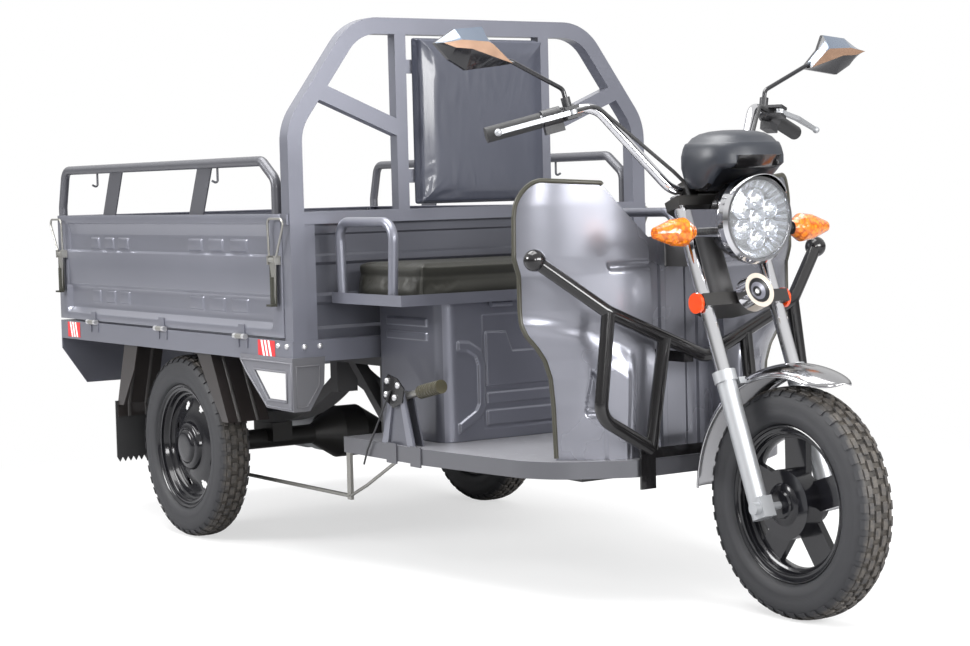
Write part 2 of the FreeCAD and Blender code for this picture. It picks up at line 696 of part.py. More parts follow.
foot = box((S.deck_front, S.foot_half - S.foot_width / 2, S.foot_low),
           (S.deck_front + S.foot_plate, S.foot_half + S.foot_width / 2, S.foot_z + S.bar_radius))
strap = box((S.panel_x + S.cowl_sheet, S.strap_near, S.strap_low), (S.bar_low_x, S.strap_far, S.strap_high))
end_ball = ball(S.bar_ball_radius, (S.bar_end_x, S.bar_end_half, S.bar_end_z))
side_bar = [outer_leg, inner_leg, foot, strap, end_ball]
tie_bar = box((S.deck_front, -S.foot_half, S.tie_low), (S.deck_front + S.foot_plate, S.foot_half, S.foot_z))
piece("bull_bar", fuse(v_bar, tie_bar, *side_bar, *[mirrored(part) for part in side_bar]))

# Seat: a hinged metal tray with two armrest loops, and the padded cushion lying in it.
sizes(
    pan_rear=708, pan_front=1026, pan_half=437, pan_sheet=3, pan_top=676, arm_radius=12, arm_spot=420,
    arm_rear=722, arm_front=974, arm_foot_rear=734, arm_foot_front=962, arm_top=845, arm_bend=42,
    cushion_rear=716, cushion_front=1008, cushion_half=372, cushion_top=742, cushion_draw=6,
    cushion_corner=22,
    cushion_belly=700, cushion_brow=732, cushion_crown_draw=17,
)
pan_floor = S.box_top + S.pan_sheet
pan = cut(box((S.pan_rear, -S.pan_half, S.box_top), (S.pan_front, S.pan_half, S.pan_top)),
          box((S.pan_rear + S.pan_sheet, S.pan_sheet - S.pan_half, pan_floor),
              (S.pan_front - S.pan_sheet, S.pan_half - S.pan_sheet, S.pan_top + S.overrun)))


def knuckle(at, axis):
    """The moving knuckle of a hinge, bored for the pin."""
    barrel = rod(S.hinge_knuckle_radius, 2 * S.hinge_half, (0, 0, -S.hinge_half))
    hole = rod(S.hinge_pin_radius + S.running_gap, 2 * S.hinge_half + 2 * S.overrun,
               (0, 0, -S.hinge_half - S.overrun))
    return moved(cut(barrel, hole), at, axis)


pan_parts = [pan]
for side in (-1, 1):
    pan_parts.append(knuckle((S.seat_hinge_x, side * S.hinge_spot, hinge_z), "y"))
    pan_parts.append(box((S.seat_hinge_x - S.hinge_pin_radius, side * S.hinge_spot - S.hinge_half,
                          hinge_z + S.hinge_pin_radius + S.hinge_play),
                         (S.seat_hinge_x + S.hinge_pin_radius, side * S.hinge_spot + S.hinge_half,
                          S.box_top + S.pan_sheet / 2)))
    spot = side * S.arm_spot
    pan_parts.append(tube([(S.arm_foot_rear, spot, pan_floor - S.pan_sheet / 2),
                           (S.arm_rear, spot, S.arm_top),
                           (S.arm_front, spot, S.arm_top),
                           (S.arm_foot_front, spot, pan_floor - S.pan_sheet / 2)],
                          S.arm_radius, S.arm_bend))
piece("seat_pan", fuse(*pan_parts))


CORNER_SHARE = 0.98


def soft_ring(half_x, half_y, corner, height):
    """A rectangle with round corners at one level."""
    a = float(half_x)
    b = float(half_y)
    c = min(float(corner), CORNER_SHARE * a, CORNER_SHARE * b)
    z = float(height)
    slant = c * (1 - math.sqrt(0.5))
    edges = []
    for sx, sy in ((1, 1), (-1, 1), (-1, -1), (1, -1)):
        tips = [Vector(sx * a, sy * (b - c), z), Vector(sx * (a - c), sy * b, z)]
        if sx * sy < 0:
            tips.reverse()
        crown = Vector(sx * (a - slant), sy * (b - slant), z)
        if edges:
            edges.append(Part.LineSegment(edges[-1].lastVertex(True).Point, tips[0]).toShape())
        edges.append(Part.Arc(tips[0], crown, tips[1]).toShape())
    edges.append(Part.LineSegment(edges[-1].lastVertex(True).Point,
                                  edges[0].firstVertex(True).Point).toShape())
    return Part.Wire(edges)


def padding(half_x, half_y, corner, levels, at, axis):
    """A soft form lofted through round-cornered levels of (height, draw-in)."""
    rings = [soft_ring(half_x - draw, half_y - draw, corner, height) for height, draw in levels]
    return seat(group(solid(Part.makeLoft(rings, True))), at, axis)


levels = [(pan_floor, S.cushion_draw), (S.cushion_belly, sized(0)), (S.cushion_brow, S.cushion_draw / 2),
          (S.cushion_top, S.cushion_crown_draw)]
piece("seat_cushion", padding((S.cushion_front - S.cushion_rear) / 2, S.cushion_half, S.cushion_corner,
                              levels,
                              ((S.cushion_front + S.cushion_rear) / 2, 0, 0), "z"))

# Headboard: a square-tube arch with a cranked top, inner uprights for the backrest and a pressed front panel.
sizes(
    arch_depth=40, arch_half=541, arch_tube=40, arch_kink=1085, arch_top=1342, arch_top_half=352,
    arch_inner_kink=1072, arch_inner_top_half=332, upright_near=201, upright_far=233, upright_depth=32,
    crossbar_low=842, crossbar_high=872, strip_width=30, strut_low=1042, strut_high=1084, strut_out_half=440,
    strut_out_high=1180, strut_end_half=462, strut_end_low=1146, panel_face=675, gate_sheet=3, sink=7,
    shallow=4, back_low=880, back_high=1296, back_half=190, back_depth=42,
    back_draw=6, back_crown=18, back_corner=26, arch_bend=140, arch_bend_inner=100,
)
BACK_LEVEL_SHARES = (0.4, 0.8)
arch_rear = S.bed_front - S.arch_depth
outer = [(S.arch_half, S.bed_top), (S.arch_half, S.arch_kink), (S.arch_top_half, S.arch_top)]
inner = [(S.arch_half - S.arch_tube, S.bed_top), (S.arch_half - S.arch_tube, S.arch_inner_kink),
         (S.arch_inner_top_half, S.arch_top - S.arch_tube)]
hoop = plate("YZ_Plane", [outer + [(-y, z) for y, z in reversed(outer)] + [(-y, z) for y, z in inner]
                          + list(reversed(inner))], S.arch_depth, (arch_rear, 0, 0))
rounded(hoop, S.arch_bend, through(outer[1:], "YZ"))
rounded(hoop, S.arch_bend_inner, through(inner[1:], "YZ"))
hoop_parts = [hoop]
strip_half = S.arch_half - S.arch_tube
hoop_parts.append(box((S.bed_front - S.upright_depth, -strip_half - S.overrun, S.crossbar_low),
                      (S.bed_front, strip_half + S.overrun, S.crossbar_high)))
for side in (-1, 1):
    near = S.upright_near if side > 0 else -S.upright_far
    hoop_parts.append(box((S.bed_front - S.upright_depth, near, S.crossbar_low),
                          (S.bed_front, near + S.upright_far - S.upright_near,
                           S.arch_top - S.arch_tube + S.overrun)))
    near = strip_half - S.strip_width if side > 0 else -strip_half - S.overrun
    hoop_parts.append(box((S.bed_front - S.upright_depth, near, S.bed_top),
                          (S.bed_front - S.overrun, near + S.strip_width + S.overrun,
                           S.crossbar_low + S.overrun)))
    corners = [(S.upright_near + S.overrun, S.strut_low), (S.upright_near + S.overrun, S.strut_high),
               (S.strut_out_half, S.strut_out_high), (S.strut_end_half, S.strut_end_low)]
    hoop_parts.append(plate("YZ_Plane", [[(side * y, z) for y, z in corners]], S.upright_depth,
                            (S.bed_front - S.upright_depth, 0, 0)))
keeper_low = S.crossbar_low
sizes(keeper_thick=6, keeper_inset=6, keeper_height=26, back_bar_depth=10, back_bar_height=34,
      back_bar_inset=56)
for low in (S.back_low + S.back_bar_inset, S.back_high - S.back_bar_inset - S.back_bar_height):
    hoop_parts.append(box((S.bed_front - S.back_bar_depth, -S.upright_near - S.overrun, low),
                          (S.bed_front, S.upright_near + S.overrun, low + S.back_bar_height)))
for side in (-1, 1):
    near = S.arch_half if side > 0 else -S.arch_half - S.keeper_thick
    hoop_parts.append(box((arch_rear + S.keeper_inset, near, keeper_low),
                          (S.bed_front - S.keeper_inset, near + S.keeper_thick,
                           keeper_low + S.keeper_height)))
piece("headboard_arch", fuse(*hoop_parts))

FLAT, DEEP, SHALLOW = range(3)
FOLD_SHARES = (
    (0, FLAT), (0.083, FLAT), (0.11, DEEP), (0.293, DEEP), (0.32, FLAT), (0.373, FLAT), (0.4, DEEP),
    (0.64, DEEP), (0.667, FLAT), (0.72, FLAT), (0.74, SHALLOW), (0.9, SHALLOW), (0.917, FLAT), (1, FLAT),
)


def fold_chain(face, inward, low, high):
    """The pressed section of a panel from its foot to its top edge, as face and back."""
    levels = []
    for share, kind in FOLD_SHARES:
        depth = (sized(0), S.sink, S.shallow)[kind]
        levels.append((low + (high - low) * share, depth))
    front = [(face + inward * depth, level) for level, depth in levels]
    back = [(face + inward * (depth + S.gate_sheet), level) for level, depth in reversed(levels)]
    return front + back


panel_half = strip_half - S.strip_width
panel_section = fold_chain(S.panel_face, -1, S.bed_top, S.crossbar_low)
piece("cargo_front_panel", plate("XZ_Plane", [panel_section], 2 * panel_half, (0, -panel_half, 0)))

levels = [(sized(0), S.back_draw), (S.back_depth * BACK_LEVEL_SHARES[0], sized(0)),
          (S.back_depth * BACK_LEVEL_SHARES[1], S.back_draw), (S.back_depth, S.back_crown)]
piece("backrest_cushion", padding((S.back_high - S.back_low) / 2, S.back_half, S.back_corner, levels,
                                  (S.bed_front, 0, (S.back_high + S.back_low) / 2), "x"))

# Gates: pressed sheet with two sunk bands, on pin hinges along the bed's channels. The side gates carry
# a tube rail with two slanting slats and cover hooks.
sizes(
    gate_low=568, gate_top=868, gate_depth=25, gate_front=655, gate_rear=706, tail_half=514,
    gate_hinge_z=564.5, hinge_stand=7.3, leaf_thick=3, leaf_top=594, leaf_low=536,
    gate_hinge_rear=468, gate_hinge_mid=21, gate_hinge_front=440, tail_hinge_spot=340,
    rail_radius=12.5, rail_foot=24, rail_top=998, rail_bend=34, rail_start=690, rail_rear_turn=661,
    rail_front_turn=548,
    rail_front_end=617, rail_shoulder=950, slat_width=80, slat_lean=57, slat_thick=4, slat_rear=403,
    slat_front=142, hook_rear=438, hook_front=308, hook_radius=3, hook_low=946, hook_out=16, hook_bend=6,
)
side_skin = plate("YZ_Plane", [fold_chain(S.bed_half, -1, S.gate_low, S.gate_top)],
                  S.gate_front + S.gate_rear, (-S.gate_rear, 0, 0))
gate_inner = S.bed_half - S.gate_depth
folds = []
for low in (S.gate_low, S.gate_top - S.gate_sheet):
    folds.append(box((-S.gate_rear, gate_inner, low),
                     (S.gate_front, S.bed_half - S.gate_sheet / 2, low + S.gate_sheet)))
for first in (-S.gate_rear, S.gate_front - S.gate_sheet):
    folds.append(box((first, gate_inner, S.gate_low),
                     (first + S.gate_sheet, S.bed_half - S.sink - S.gate_sheet / 2, S.gate_top)))
hinge_y = S.bed_half + S.hinge_stand
hinge_spots = (-S.gate_hinge_rear, -S.gate_hinge_mid, S.gate_hinge_front)
leaf_base = S.gate_hinge_z
for spot in hinge_spots:
    folds.append(knuckle((spot, hinge_y, S.gate_hinge_z), "x"))
    folds.append(box((spot - S.hinge_half, S.bed_half, leaf_base + S.seat_gap),
                     (spot + S.hinge_half, S.bed_half + S.leaf_thick, S.leaf_top)))

# Latches: a pin between two ears on each gate end carries the lever, and a wire bail reaches the post.
sizes(
    latch_front_x=630, latch_rear_x=668, latch_half=13, latch_ear=7, latch_play=0.4, latch_pin_radius=3,
    latch_boss_radius=6.5, latch_stand=10.5, latch_z=757, latch_drop=112, latch_thick=5, latch_flare=14,
    ear_height=11,
    bail_radius=3, bail_rise=100, bail_reach=52, bail_bend=14, bail_stand=13,
)
latch_y = S.bed_half + S.latch_stand
latches = ((S.latch_front_x, 1, "front"), (-S.latch_rear_x, -1, "rear"))
levers = {}
for middle, heading, word in latches:
    span = S.latch_half + S.latch_play
    for side in (-1, 1):
        first = middle + span if side > 0 else middle - span - S.latch_ear
        folds.append(box((first, S.bed_half - S.sink, S.latch_z - S.ear_height),
                         (first + S.latch_ear, latch_y + S.latch_pin_radius + S.bail_radius,
                          S.latch_z + S.ear_height)))
    length = 2 * span + 2 * S.latch_ear
    folds.append(rod(S.latch_pin_radius, length, (middle - length / 2, latch_y, S.latch_z), "x"))
    near = middle - span - S.latch_ear / 2
    far = middle + span + S.latch_ear / 2
    if heading < 0:
        near, far = far, near
    high = S.latch_z + S.bail_rise
    bail_y = S.bed_half + S.bail_stand
    folds.append(tube([(near, latch_y, S.latch_z + S.ear_height / 2), (near, bail_y, high),
                       (far + heading * S.bail_reach, bail_y, high),
                       (far, latch_y, S.latch_z + S.ear_height / 2)],
                      S.bail_radius, S.bail_bend))
    boss = rod(S.latch_boss_radius, 2 * S.latch_half, (middle - S.latch_half, latch_y, S.latch_z), "x")
    blade = box((middle - S.latch_half, latch_y - S.latch_thick / 2, S.latch_z - S.latch_drop),
                (middle + S.latch_half, latch_y + S.latch_thick / 2, S.latch_z))
    toe = box((middle - S.latch_half, latch_y - S.latch_thick / 2, S.latch_z - S.latch_drop),
              (middle + S.latch_half, latch_y + S.latch_flare, S.latch_z - S.latch_drop + S.latch_thick))
    hole = rod(S.latch_pin_radius + S.running_gap, length, (middle - length / 2, latch_y, S.latch_z), "x")
    levers[word] = cut(fuse(boss, blade, toe), hole)
side_gate = fuse(side_skin, *folds)
piece("side_gate_left", side_gate)
piece("side_gate_right", mirrored(side_gate))
for word, lever_shape in levers.items():
    piece("latch_%s_left" % word, lever_shape)
    piece("latch_%s_right" % word, mirrored(lever_shape))

rail_y = S.bed_half - S.gate_depth / 2
rail_parts = [tube([(-S.rail_start, rail_y, S.gate_top), (-S.rail_start, rail_y, S.gate_top + S.rail_foot),
                    (-S.rail_rear_turn, rail_y, S.rail_top), (S.rail_front_turn, rail_y, S.rail_top),
                    (S.rail_front_end, rail_y, S.rail_shoulder),
                    (S.rail_front_end, rail_y, S.gate_top)], S.rail_radius, S.rail_bend)]
for foot_x in (-S.slat_rear, S.slat_front):
    ring = [(foot_x, S.gate_top), (foot_x + S.slat_width, S.gate_top),
            (foot_x + S.slat_width + S.slat_lean, S.rail_top - S.rail_radius / 2),
            (foot_x + S.slat_lean, S.rail_top - S.rail_radius / 2)]
    rail_parts.append(plate("XZ_Plane", [ring], S.slat_thick, (0, rail_y - S.slat_thick / 2, 0)))
for spot in (-S.hook_rear, S.hook_front):
    rail_parts.append(tube([(spot, rail_y, S.rail_top), (spot, rail_y, S.hook_low),
                            (spot, rail_y + S.hook_out, S.hook_low + S.hook_out / 2)], S.hook_radius,
                            S.hook_bend))
side_rail = fuse(*rail_parts)
piece("side_rail_left", side_rail)
piece("side_rail_right", mirrored(side_rail))

tail_skin = plate("XZ_Plane", [fold_chain(-S.bed_rear, 1, S.gate_low, S.gate_top)], 2 * S.tail_half,
                  (0, -S.tail_half, 0))
tail_parts = [tail_skin]
for low in (S.gate_low, S.gate_top - S.gate_sheet):
    tail_parts.append(box((S.gate_sheet / 2 - S.bed_rear, -S.tail_half, low),
                          (S.gate_depth - S.bed_rear, S.tail_half, low + S.gate_sheet)))
for first in (-S.tail_half, S.tail_half - S.gate_sheet):
    tail_parts.append(box((S.sink + S.gate_sheet / 2 - S.bed_rear, first, S.gate_low),
                          (S.gate_depth - S.bed_rear, first + S.gate_sheet, S.gate_top)))
hinge_x = -S.bed_rear - S.hinge_stand
for side in (-1, 1):
    spot = side * S.tail_hinge_spot
    tail_parts.append(knuckle((hinge_x, spot, S.gate_hinge_z), "y"))
    tail_parts.append(box((-S.bed_rear - S.leaf_thick, spot - S.hinge_half, leaf_base + S.seat_gap),
                          (-S.bed_rear, spot + S.hinge_half, S.leaf_top)))
piece("tailgate", fuse(*tail_parts))

fixed = []
for spot in hinge_spots:
    parts = [knuckles((spot, hinge_y, S.gate_hinge_z), "x")]
    for first in (S.hinge_half + S.hinge_play, -S.hinge_half - S.hinge_end):
        parts.append(box((spot + first, S.bed_half, S.leaf_low),
                         (spot + first + S.hinge_end - S.hinge_play, S.bed_half + S.leaf_thick, S.bed_top)))
    hinge = fuse(*parts)
    fixed += [hinge, mirrored(hinge)]
for side in (-1, 1):
    spot = side * S.tail_hinge_spot
    parts = [knuckles((hinge_x, spot, S.gate_hinge_z), "y")]
    for first in (S.hinge_half + S.hinge_play, -S.hinge_half - S.hinge_end):
        parts.append(box((-S.bed_rear - S.leaf_thick, spot + first, S.leaf_low),
                         (-S.bed_rear, spot + first + S.hinge_end - S.hinge_play, S.bed_top)))
    fixed.append(fuse(*parts))
piece("gate_hinges", group(*fixed))

# Under the bed: corner guards, mudguards with rubber flaps, tail lamps, buffers and bolts.
sizes(
    guard_thick=4, guard_lap=12, guard_rear=431, guard_front=694, guard_low=391, guard_heel=565,
    guard_slope_x=455,
    guard_slope_z=479, guard_face_half=458, guard_face_step=462, guard_face_z=454, guard_toe_half=503,
    guard_wall=26,
    mud_inner=412, mud_outer=530, mud_sheet=4, mud_front_top=231, mud_front_low=321, mud_low=335,
    mud_rear_top=293,
    mud_rear_low=354, sickle_front=115, sickle_front_low=286, sickle_rear=194, sickle_rear_low=320,
    sickle_mid=200,
    sickle_rear_mid=240, sickle_z=440, tab_low=300, tab_high=345,
    flap_inner=404, flap_outer=536, flap_low=172, flap_thick=4, flap_tooth=14,
    lamp_low=452, lamp_high=502, lamp_near=415, lamp_far=505, lamp_depth=16,
    buffer_radius=19, buffer_spot=400, buffer_z=402, bolt_radius=7, bolt_head=5, bolt_z=534, bolt_front=600,
    bolt_rear=655, bolt_step=38,
)
TEETH = 8
guard_top = S.bed_low + S.guard_lap
guard_outer = [(S.guard_rear, guard_top), (S.bed_front + S.guard_thick, guard_top),
               (S.bed_front + S.guard_thick, S.guard_low), (S.guard_heel, S.guard_low + S.overrun / 2),
               (S.guard_slope_x, S.guard_slope_z)]
window = [(S.guard_slope_x + 2 * S.guard_wall, S.bed_low - S.guard_wall),
          (S.guard_front - S.guard_wall, S.bed_low - S.guard_wall),
          (S.guard_front - S.guard_wall, S.guard_low + S.guard_wall),
          (S.guard_heel + S.guard_wall / 2, S.guard_low + S.guard_wall)]
guard_side = plate("XZ_Plane", [guard_outer, window], S.guard_thick, (0, S.bed_half, 0))
guard_face = plate("YZ_Plane", [[
    (S.guard_face_half, guard_top), (S.bed_half + S.guard_thick, guard_top),
    (S.bed_half + S.guard_thick, S.guard_low), (S.guard_toe_half, S.guard_low),
    (S.guard_face_step, S.guard_face_z),
]], S.guard_thick, (S.bed_front, 0, 0))
guard = fuse(guard_side, guard_face)
piece("corner_guards", group(guard, mirrored(guard)))

width = S.mud_outer - S.mud_inner
front_strip = plate("XZ_Plane", [[
    (S.mud_front_top, inner_top), (S.mud_front_top, S.bed_low), (S.mud_front_low, S.mud_low),
    (S.mud_front_low - S.mud_sheet, S.mud_low), (S.mud_front_top - S.mud_sheet, S.bed_low),
    (S.mud_front_top - S.mud_sheet, inner_top),
]], width, (0, S.mud_inner, 0))
front_sickle = plate("XZ_Plane", [[
    (S.sickle_front, inner_top), (S.mud_front_top, inner_top), (S.mud_front_top, S.bed_low),
    (S.mud_front_low, S.mud_low),
    (S.sickle_front_low, S.mud_low), (S.sickle_mid, S.sickle_z),
]], S.mud_sheet, (0, S.mud_outer - S.mud_sheet, 0))
rear_strip = plate("XZ_Plane", [[
    (-S.mud_rear_top, inner_top), (-S.mud_rear_top, S.bed_low), (-S.mud_rear_low, S.mud_low),
    (-S.mud_rear_low - S.mud_sheet, S.mud_low), (-S.mud_rear_top - S.mud_sheet, S.bed_low),
    (-S.mud_rear_top - S.mud_sheet, inner_top),
]], width, (0, S.mud_inner, 0))
rear_sickle = plate("XZ_Plane", [[
    (-S.sickle_rear, inner_top), (-S.mud_rear_top, inner_top), (-S.mud_rear_top, S.bed_low),
    (-S.mud_rear_low, S.mud_low),
    (-S.sickle_rear_low, S.mud_low), (-S.sickle_rear_mid, S.sickle_z),
]], S.mud_sheet, (0, S.mud_outer - S.mud_sheet, 0))
flap_tab = box((-S.mud_rear_low - S.mud_sheet, S.mud_inner, S.tab_low),
               (-S.mud_rear_low, S.mud_outer, S.tab_high))
guards = [fuse(front_strip, front_sickle), fuse(rear_strip, rear_sickle, flap_tab)]
piece("rear_mudguards", group(*guards, *[mirrored(part) for part in guards]))

hem = [(S.flap_outer, S.tab_high), (S.flap_inner, S.tab_high)]
pitch = (S.flap_outer - S.flap_inner) / TEETH
for step in range(TEETH):
    hem.append((S.flap_inner + step * pitch, S.flap_low + S.flap_tooth))
    hem.append((S.flap_inner + (step + 0.5) * pitch, S.flap_low))
hem.append((S.flap_outer, S.flap_low + S.flap_tooth))
flap = plate("YZ_Plane", [hem], S.flap_thick, (-S.mud_rear_low - S.mud_sheet - S.flap_thick, 0, 0))
piece("mud_flaps", group(flap, mirrored(flap)))

lamp = box((-S.bed_rear - S.lamp_depth, S.lamp_near, S.lamp_low), (-S.bed_rear, S.lamp_far, S.lamp_high))
piece("tail_lamps", group(lamp, mirrored(lamp)))
buffer = rod(S.buffer_radius, S.rear_reach - S.bed_rear, (-S.bed_rear, S.buffer_spot, S.buffer_z), "-x")
piece("rear_buffers", group(buffer, mirrored(buffer)))
bolts = []
for spot in (S.bolt_front, S.bolt_front - S.bolt_step, -S.bolt_rear, S.bolt_step - S.bolt_rear):
    bolt = rod(S.bolt_radius, S.bolt_head, (spot, S.bed_half, S.bolt_z), "y")
    bolts += [bolt, mirrored(bolt)]
piece("frame_bolts", group(*bolts))

# Brake linkage: rods from the drums to cross levers on the frame columns, the parking lever's bracket and
# its cable under the deck.
sizes(
    link_radius=5, link_z=166, link_x=652, shaft_radius=9, shaft_z=292, link_arm_half=9, shaft_outer=378,
    lever_x=935, lever_spot=384, lever_z=432, lever_pin_radius=5, lever_half=9, lever_ear=4, lever_play=0.4,
    lever_boss=14, lever_rise=36, lever_reach=170, lever_bar=9, grip_radius=16, grip_length=88,
    bracket_rear=868,
    bracket_front=1004, bracket_neck=26, cable_radius=4, cable_bend=40, cable_mid_x=760, cable_mid_z=205,
    cable_end_x=900,
)
link_y = S.drum_inner - S.drum_lever_thick / 2
shaft = rod(S.shaft_radius, S.shaft_outer - rail_out, (S.link_x, rail_out, S.shaft_z), "y")
link_arm = box((S.link_x - S.link_arm_half, link_y - S.drum_lever_thick / 2, S.link_z - S.link_arm_half),
               (S.link_x + S.link_arm_half, link_y + S.drum_lever_thick / 2, S.shaft_z))
link_rod = rod(S.link_radius, S.link_x - S.drum_lever_front - S.seat_gap,
               (S.drum_lever_front + S.seat_gap, link_y, S.link_z), "x")
link = fuse(shaft, link_arm, link_rod)
cable = tube([(S.link_x, -link_y, S.link_z), (S.cable_mid_x, -S.lever_spot, S.cable_mid_z),
              (S.cable_end_x, -S.lever_spot, deck_under - S.cable_bend),
              (S.cable_end_x, -S.lever_spot, deck_under)],
             S.cable_radius, S.cable_bend / 4)
bracket = []
span = S.lever_half + S.lever_play
for side in (-1, 1):
    first = span if side > 0 else -span - S.lever_ear
    bracket.append(plate("XZ_Plane", [[
        (S.bracket_rear, S.deck_top), (S.bracket_front, S.deck_top),
        (S.lever_x + S.bracket_neck, S.lever_z + S.lever_boss),
        (S.lever_x - S.bracket_neck, S.lever_z + S.lever_boss),
    ]], S.lever_ear, (0, first - S.lever_spot, 0)))
length = 2 * span + 2 * S.lever_ear
bracket.append(rod(S.lever_pin_radius, length, (S.lever_x, -S.lever_spot - length / 2, S.lever_z), "y"))
piece("brake_linkage", group(link, fuse(mirrored(link), cable), fuse(*bracket)))

lever_end = (S.lever_x + S.lever_reach, S.lever_z + S.lever_rise)
lever_hub = rod(S.lever_boss, 2 * S.lever_half, (S.lever_x, -S.lever_spot - S.lever_half, S.lever_z), "y")


def rod_between(radius, start, end):
    """A round bar between two points."""
    obj = doc.addObject("Part::Cylinder", "bar")
    bind(obj, "Radius", radius)
    run = point(end) - point(start)
    obj.Height = run.Length
    obj.Placement = Placement(point(start), Rotation(Vector(0, 0, 1), run))
    return obj


share = 1 - S.grip_length / S.lever_reach
grip_start = (S.lever_x + S.lever_reach * share, -S.lever_spot, S.lever_z + S.lever_rise * share)
lever_tip = (lever_end[0], -S.lever_spot, lever_end[1])
lever_bar = rod_between(S.lever_bar - S.lever_play, (S.lever_x, -S.lever_spot, S.lever_z), lever_tip)
lever_grip = rod_between(S.grip_radius, grip_start, lever_tip)
lever_hole = rod(S.lever_pin_radius + S.running_gap, length,
                 (S.lever_x, -S.lever_spot - length / 2, S.lever_z), "y")
piece("parking_brake_lever", cut(fuse(lever_hub, lever_bar, lever_grip), lever_hole))

# Fork: chrome stanchions in two yokes on a stem, silver sliders on the wheel axle and a chrome fender.
# Drawn upright about the wheel axle and leaned back by the rake.
sizes(
    leg_set=12, leg_spot=98, stanchion_radius=15.5, stanchion_low=150, stanchion_top=696, slider_radius=21,
    slider_low=22, slider_top=300, slider_bore_low=70, collar_radius=25, collar_height=24, lug_half=16,
    lug_length=30,
    nut_radius=13, nut_length=14, yoke_half=118, yoke_front=12, yoke_ear=34, yoke_waist=40, yoke_rear=92,
    lower_yoke=440, upper_yoke=668,
    yoke_thick=28, upper_thick=22, clamp_spot=52, clamp_half=13, clamp_set=30, bar_rise=716, clamp_top=734,
    bar_tube_radius=11, clamp_depth=18,
    fender_radius=294, fender_edge_radius=282, fender_half=57, fender_shoulder=42, fender_sheet=3,
    fender_start=58, fender_sweep=120, fender_ahead=7, stay_low=268, stay_high=282, stay_half=14,
)


def on_fork(*parts):
    """Upright fork pieces leaned into place over the front axle."""
    return moved(group(*parts), front_wheel_at, lean=S.rake_back)


stanchions = []
sliders = []
stays = []
for side in (-1, 1):
    spot = side * S.leg_spot
    stanchions.append(rod(S.stanchion_radius, S.stanchion_top - S.stanchion_low,
                          (-S.leg_set, spot, S.stanchion_low)))
    leg = rod(S.slider_radius, S.slider_top + S.slider_low, (-S.leg_set, spot, -S.slider_low))
    collar = rod(S.collar_radius, S.collar_height, (-S.leg_set, spot, S.slider_top - S.collar_height))
    lug = box((-S.leg_set, spot - S.lug_half, -S.slider_low),
              (S.lug_length / 2, spot + S.lug_half, S.slider_low))
    sleeve = rod(S.stanchion_radius + S.running_gap, S.slider_top, (-S.leg_set, spot, S.slider_bore_low))
    sliders.append(cut(fuse(leg, collar, lug), sleeve))
axle_length = 2 * (S.leg_spot + S.slider_radius)
axle = rod(S.front_axle_radius, axle_length, (0, -axle_length / 2, 0), "y")
nuts = [rod(S.nut_radius, S.nut_length, (0, S.leg_spot + S.slider_radius - S.overrun, 0), "y"),
        rod(S.nut_radius, S.nut_length, (0, S.overrun - S.leg_spot - S.slider_radius, 0), "-y")]
piece("fork_sliders", on_fork(fuse(axle, *nuts, *sliders)))

sizes(
    ear_rear=1640, ear_front=1746, ear_plate=4, ear_gap=0.2, ear_low=804, ear_high=862,
    lamp_front=1764, lamp_z=839, lamp_shell_radius=90,
)
ear_near = S.lamp_shell_radius + S.ear_gap
ear = box((S.ear_rear, ear_near, S.ear_low), (S.ear_front, ear_near + S.ear_plate, S.ear_high))
piece("fork_tubes", fuse(on_fork(*stanchions), ear, mirrored(ear)))


def fender():
    """A crowned strip turned part of the way round the wheel axle."""
    chain = [(S.fender_edge_radius, -S.fender_half), (S.fender_radius - S.fender_sheet, -S.fender_shoulder),
             (S.fender_radius, 0), (S.fender_radius - S.fender_sheet, S.fender_shoulder),
             (S.fender_edge_radius, S.fender_half)]
    outer = [Vector(float(r), float(sized(y)), 0) for r, y in chain]
    inner = [Vector(float(r - S.fender_sheet), float(sized(y)), 0) for r, y in reversed(chain)]
    face = Part.Face(Part.makePolygon(outer + inner + outer[:1]))
    face.rotate(Vector(), Vector(0, 1, 0), -float(S.fender_start))
    band = face.revolve(Vector(), Vector(0, -1, 0), float(S.fender_sweep))
    return seat(solid(band), (front_wheel_at[0] + S.fender_ahead, front_wheel_at[1], front_wheel_at[2]))


for side in (-1, 1):
    near = S.fender_shoulder if side > 0 else -S.leg_spot + S.collar_radius + S.ear_gap
    far = S.leg_spot - S.collar_radius - S.ear_gap if side > 0 else -S.fender_shoulder
    stays.append(box((-S.leg_set - S.stay_half, near, S.stay_low),
                     (S.stay_half - S.leg_set, far, S.stay_high)))
piece("front_fender", fuse(fender(), on_fork(*stays)))

yoke_parts = []
for low, thick in ((S.lower_yoke, S.yoke_thick), (S.upper_yoke, S.upper_thick)):
    half_yoke = [(S.yoke_front, S.yoke_half), (-S.yoke_ear, S.yoke_half), (-S.yoke_rear, S.yoke_waist)]
    bridge = plate("XY_Plane", [half_yoke + [(x, -y) for x, y in reversed(half_yoke)]], thick, (0, 0, low))
    for side in (-1, 1):
        bridge = cut(bridge, rod(S.stanchion_radius + S.running_gap, thick + 2 * S.overrun,
                                 (-S.leg_set, side * S.leg_spot, low - S.overrun)))
    yoke_parts.append(bridge)
stem = rod(S.stem_radius, S.upper_yoke - S.lower_yoke, (-S.head_offset, 0, S.lower_yoke + S.overrun))
for side in (-1, 1):
    clamp = box((-S.clamp_set - S.clamp_depth, side * S.clamp_spot - S.clamp_half, S.upper_yoke + S.overrun),
                (S.clamp_depth - S.clamp_set, side * S.clamp_spot + S.clamp_half, S.clamp_top))
    hole = rod(S.bar_tube_radius + S.running_gap, 2 * S.clamp_half + 2 * S.overrun,
               (-S.clamp_set, side * S.clamp_spot - S.clamp_half - S.overrun, S.bar_rise), "y")
    yoke_parts.append(cut(clamp, hole))
piece("fork_yokes", on_fork(fuse(*yoke_parts, stem)))

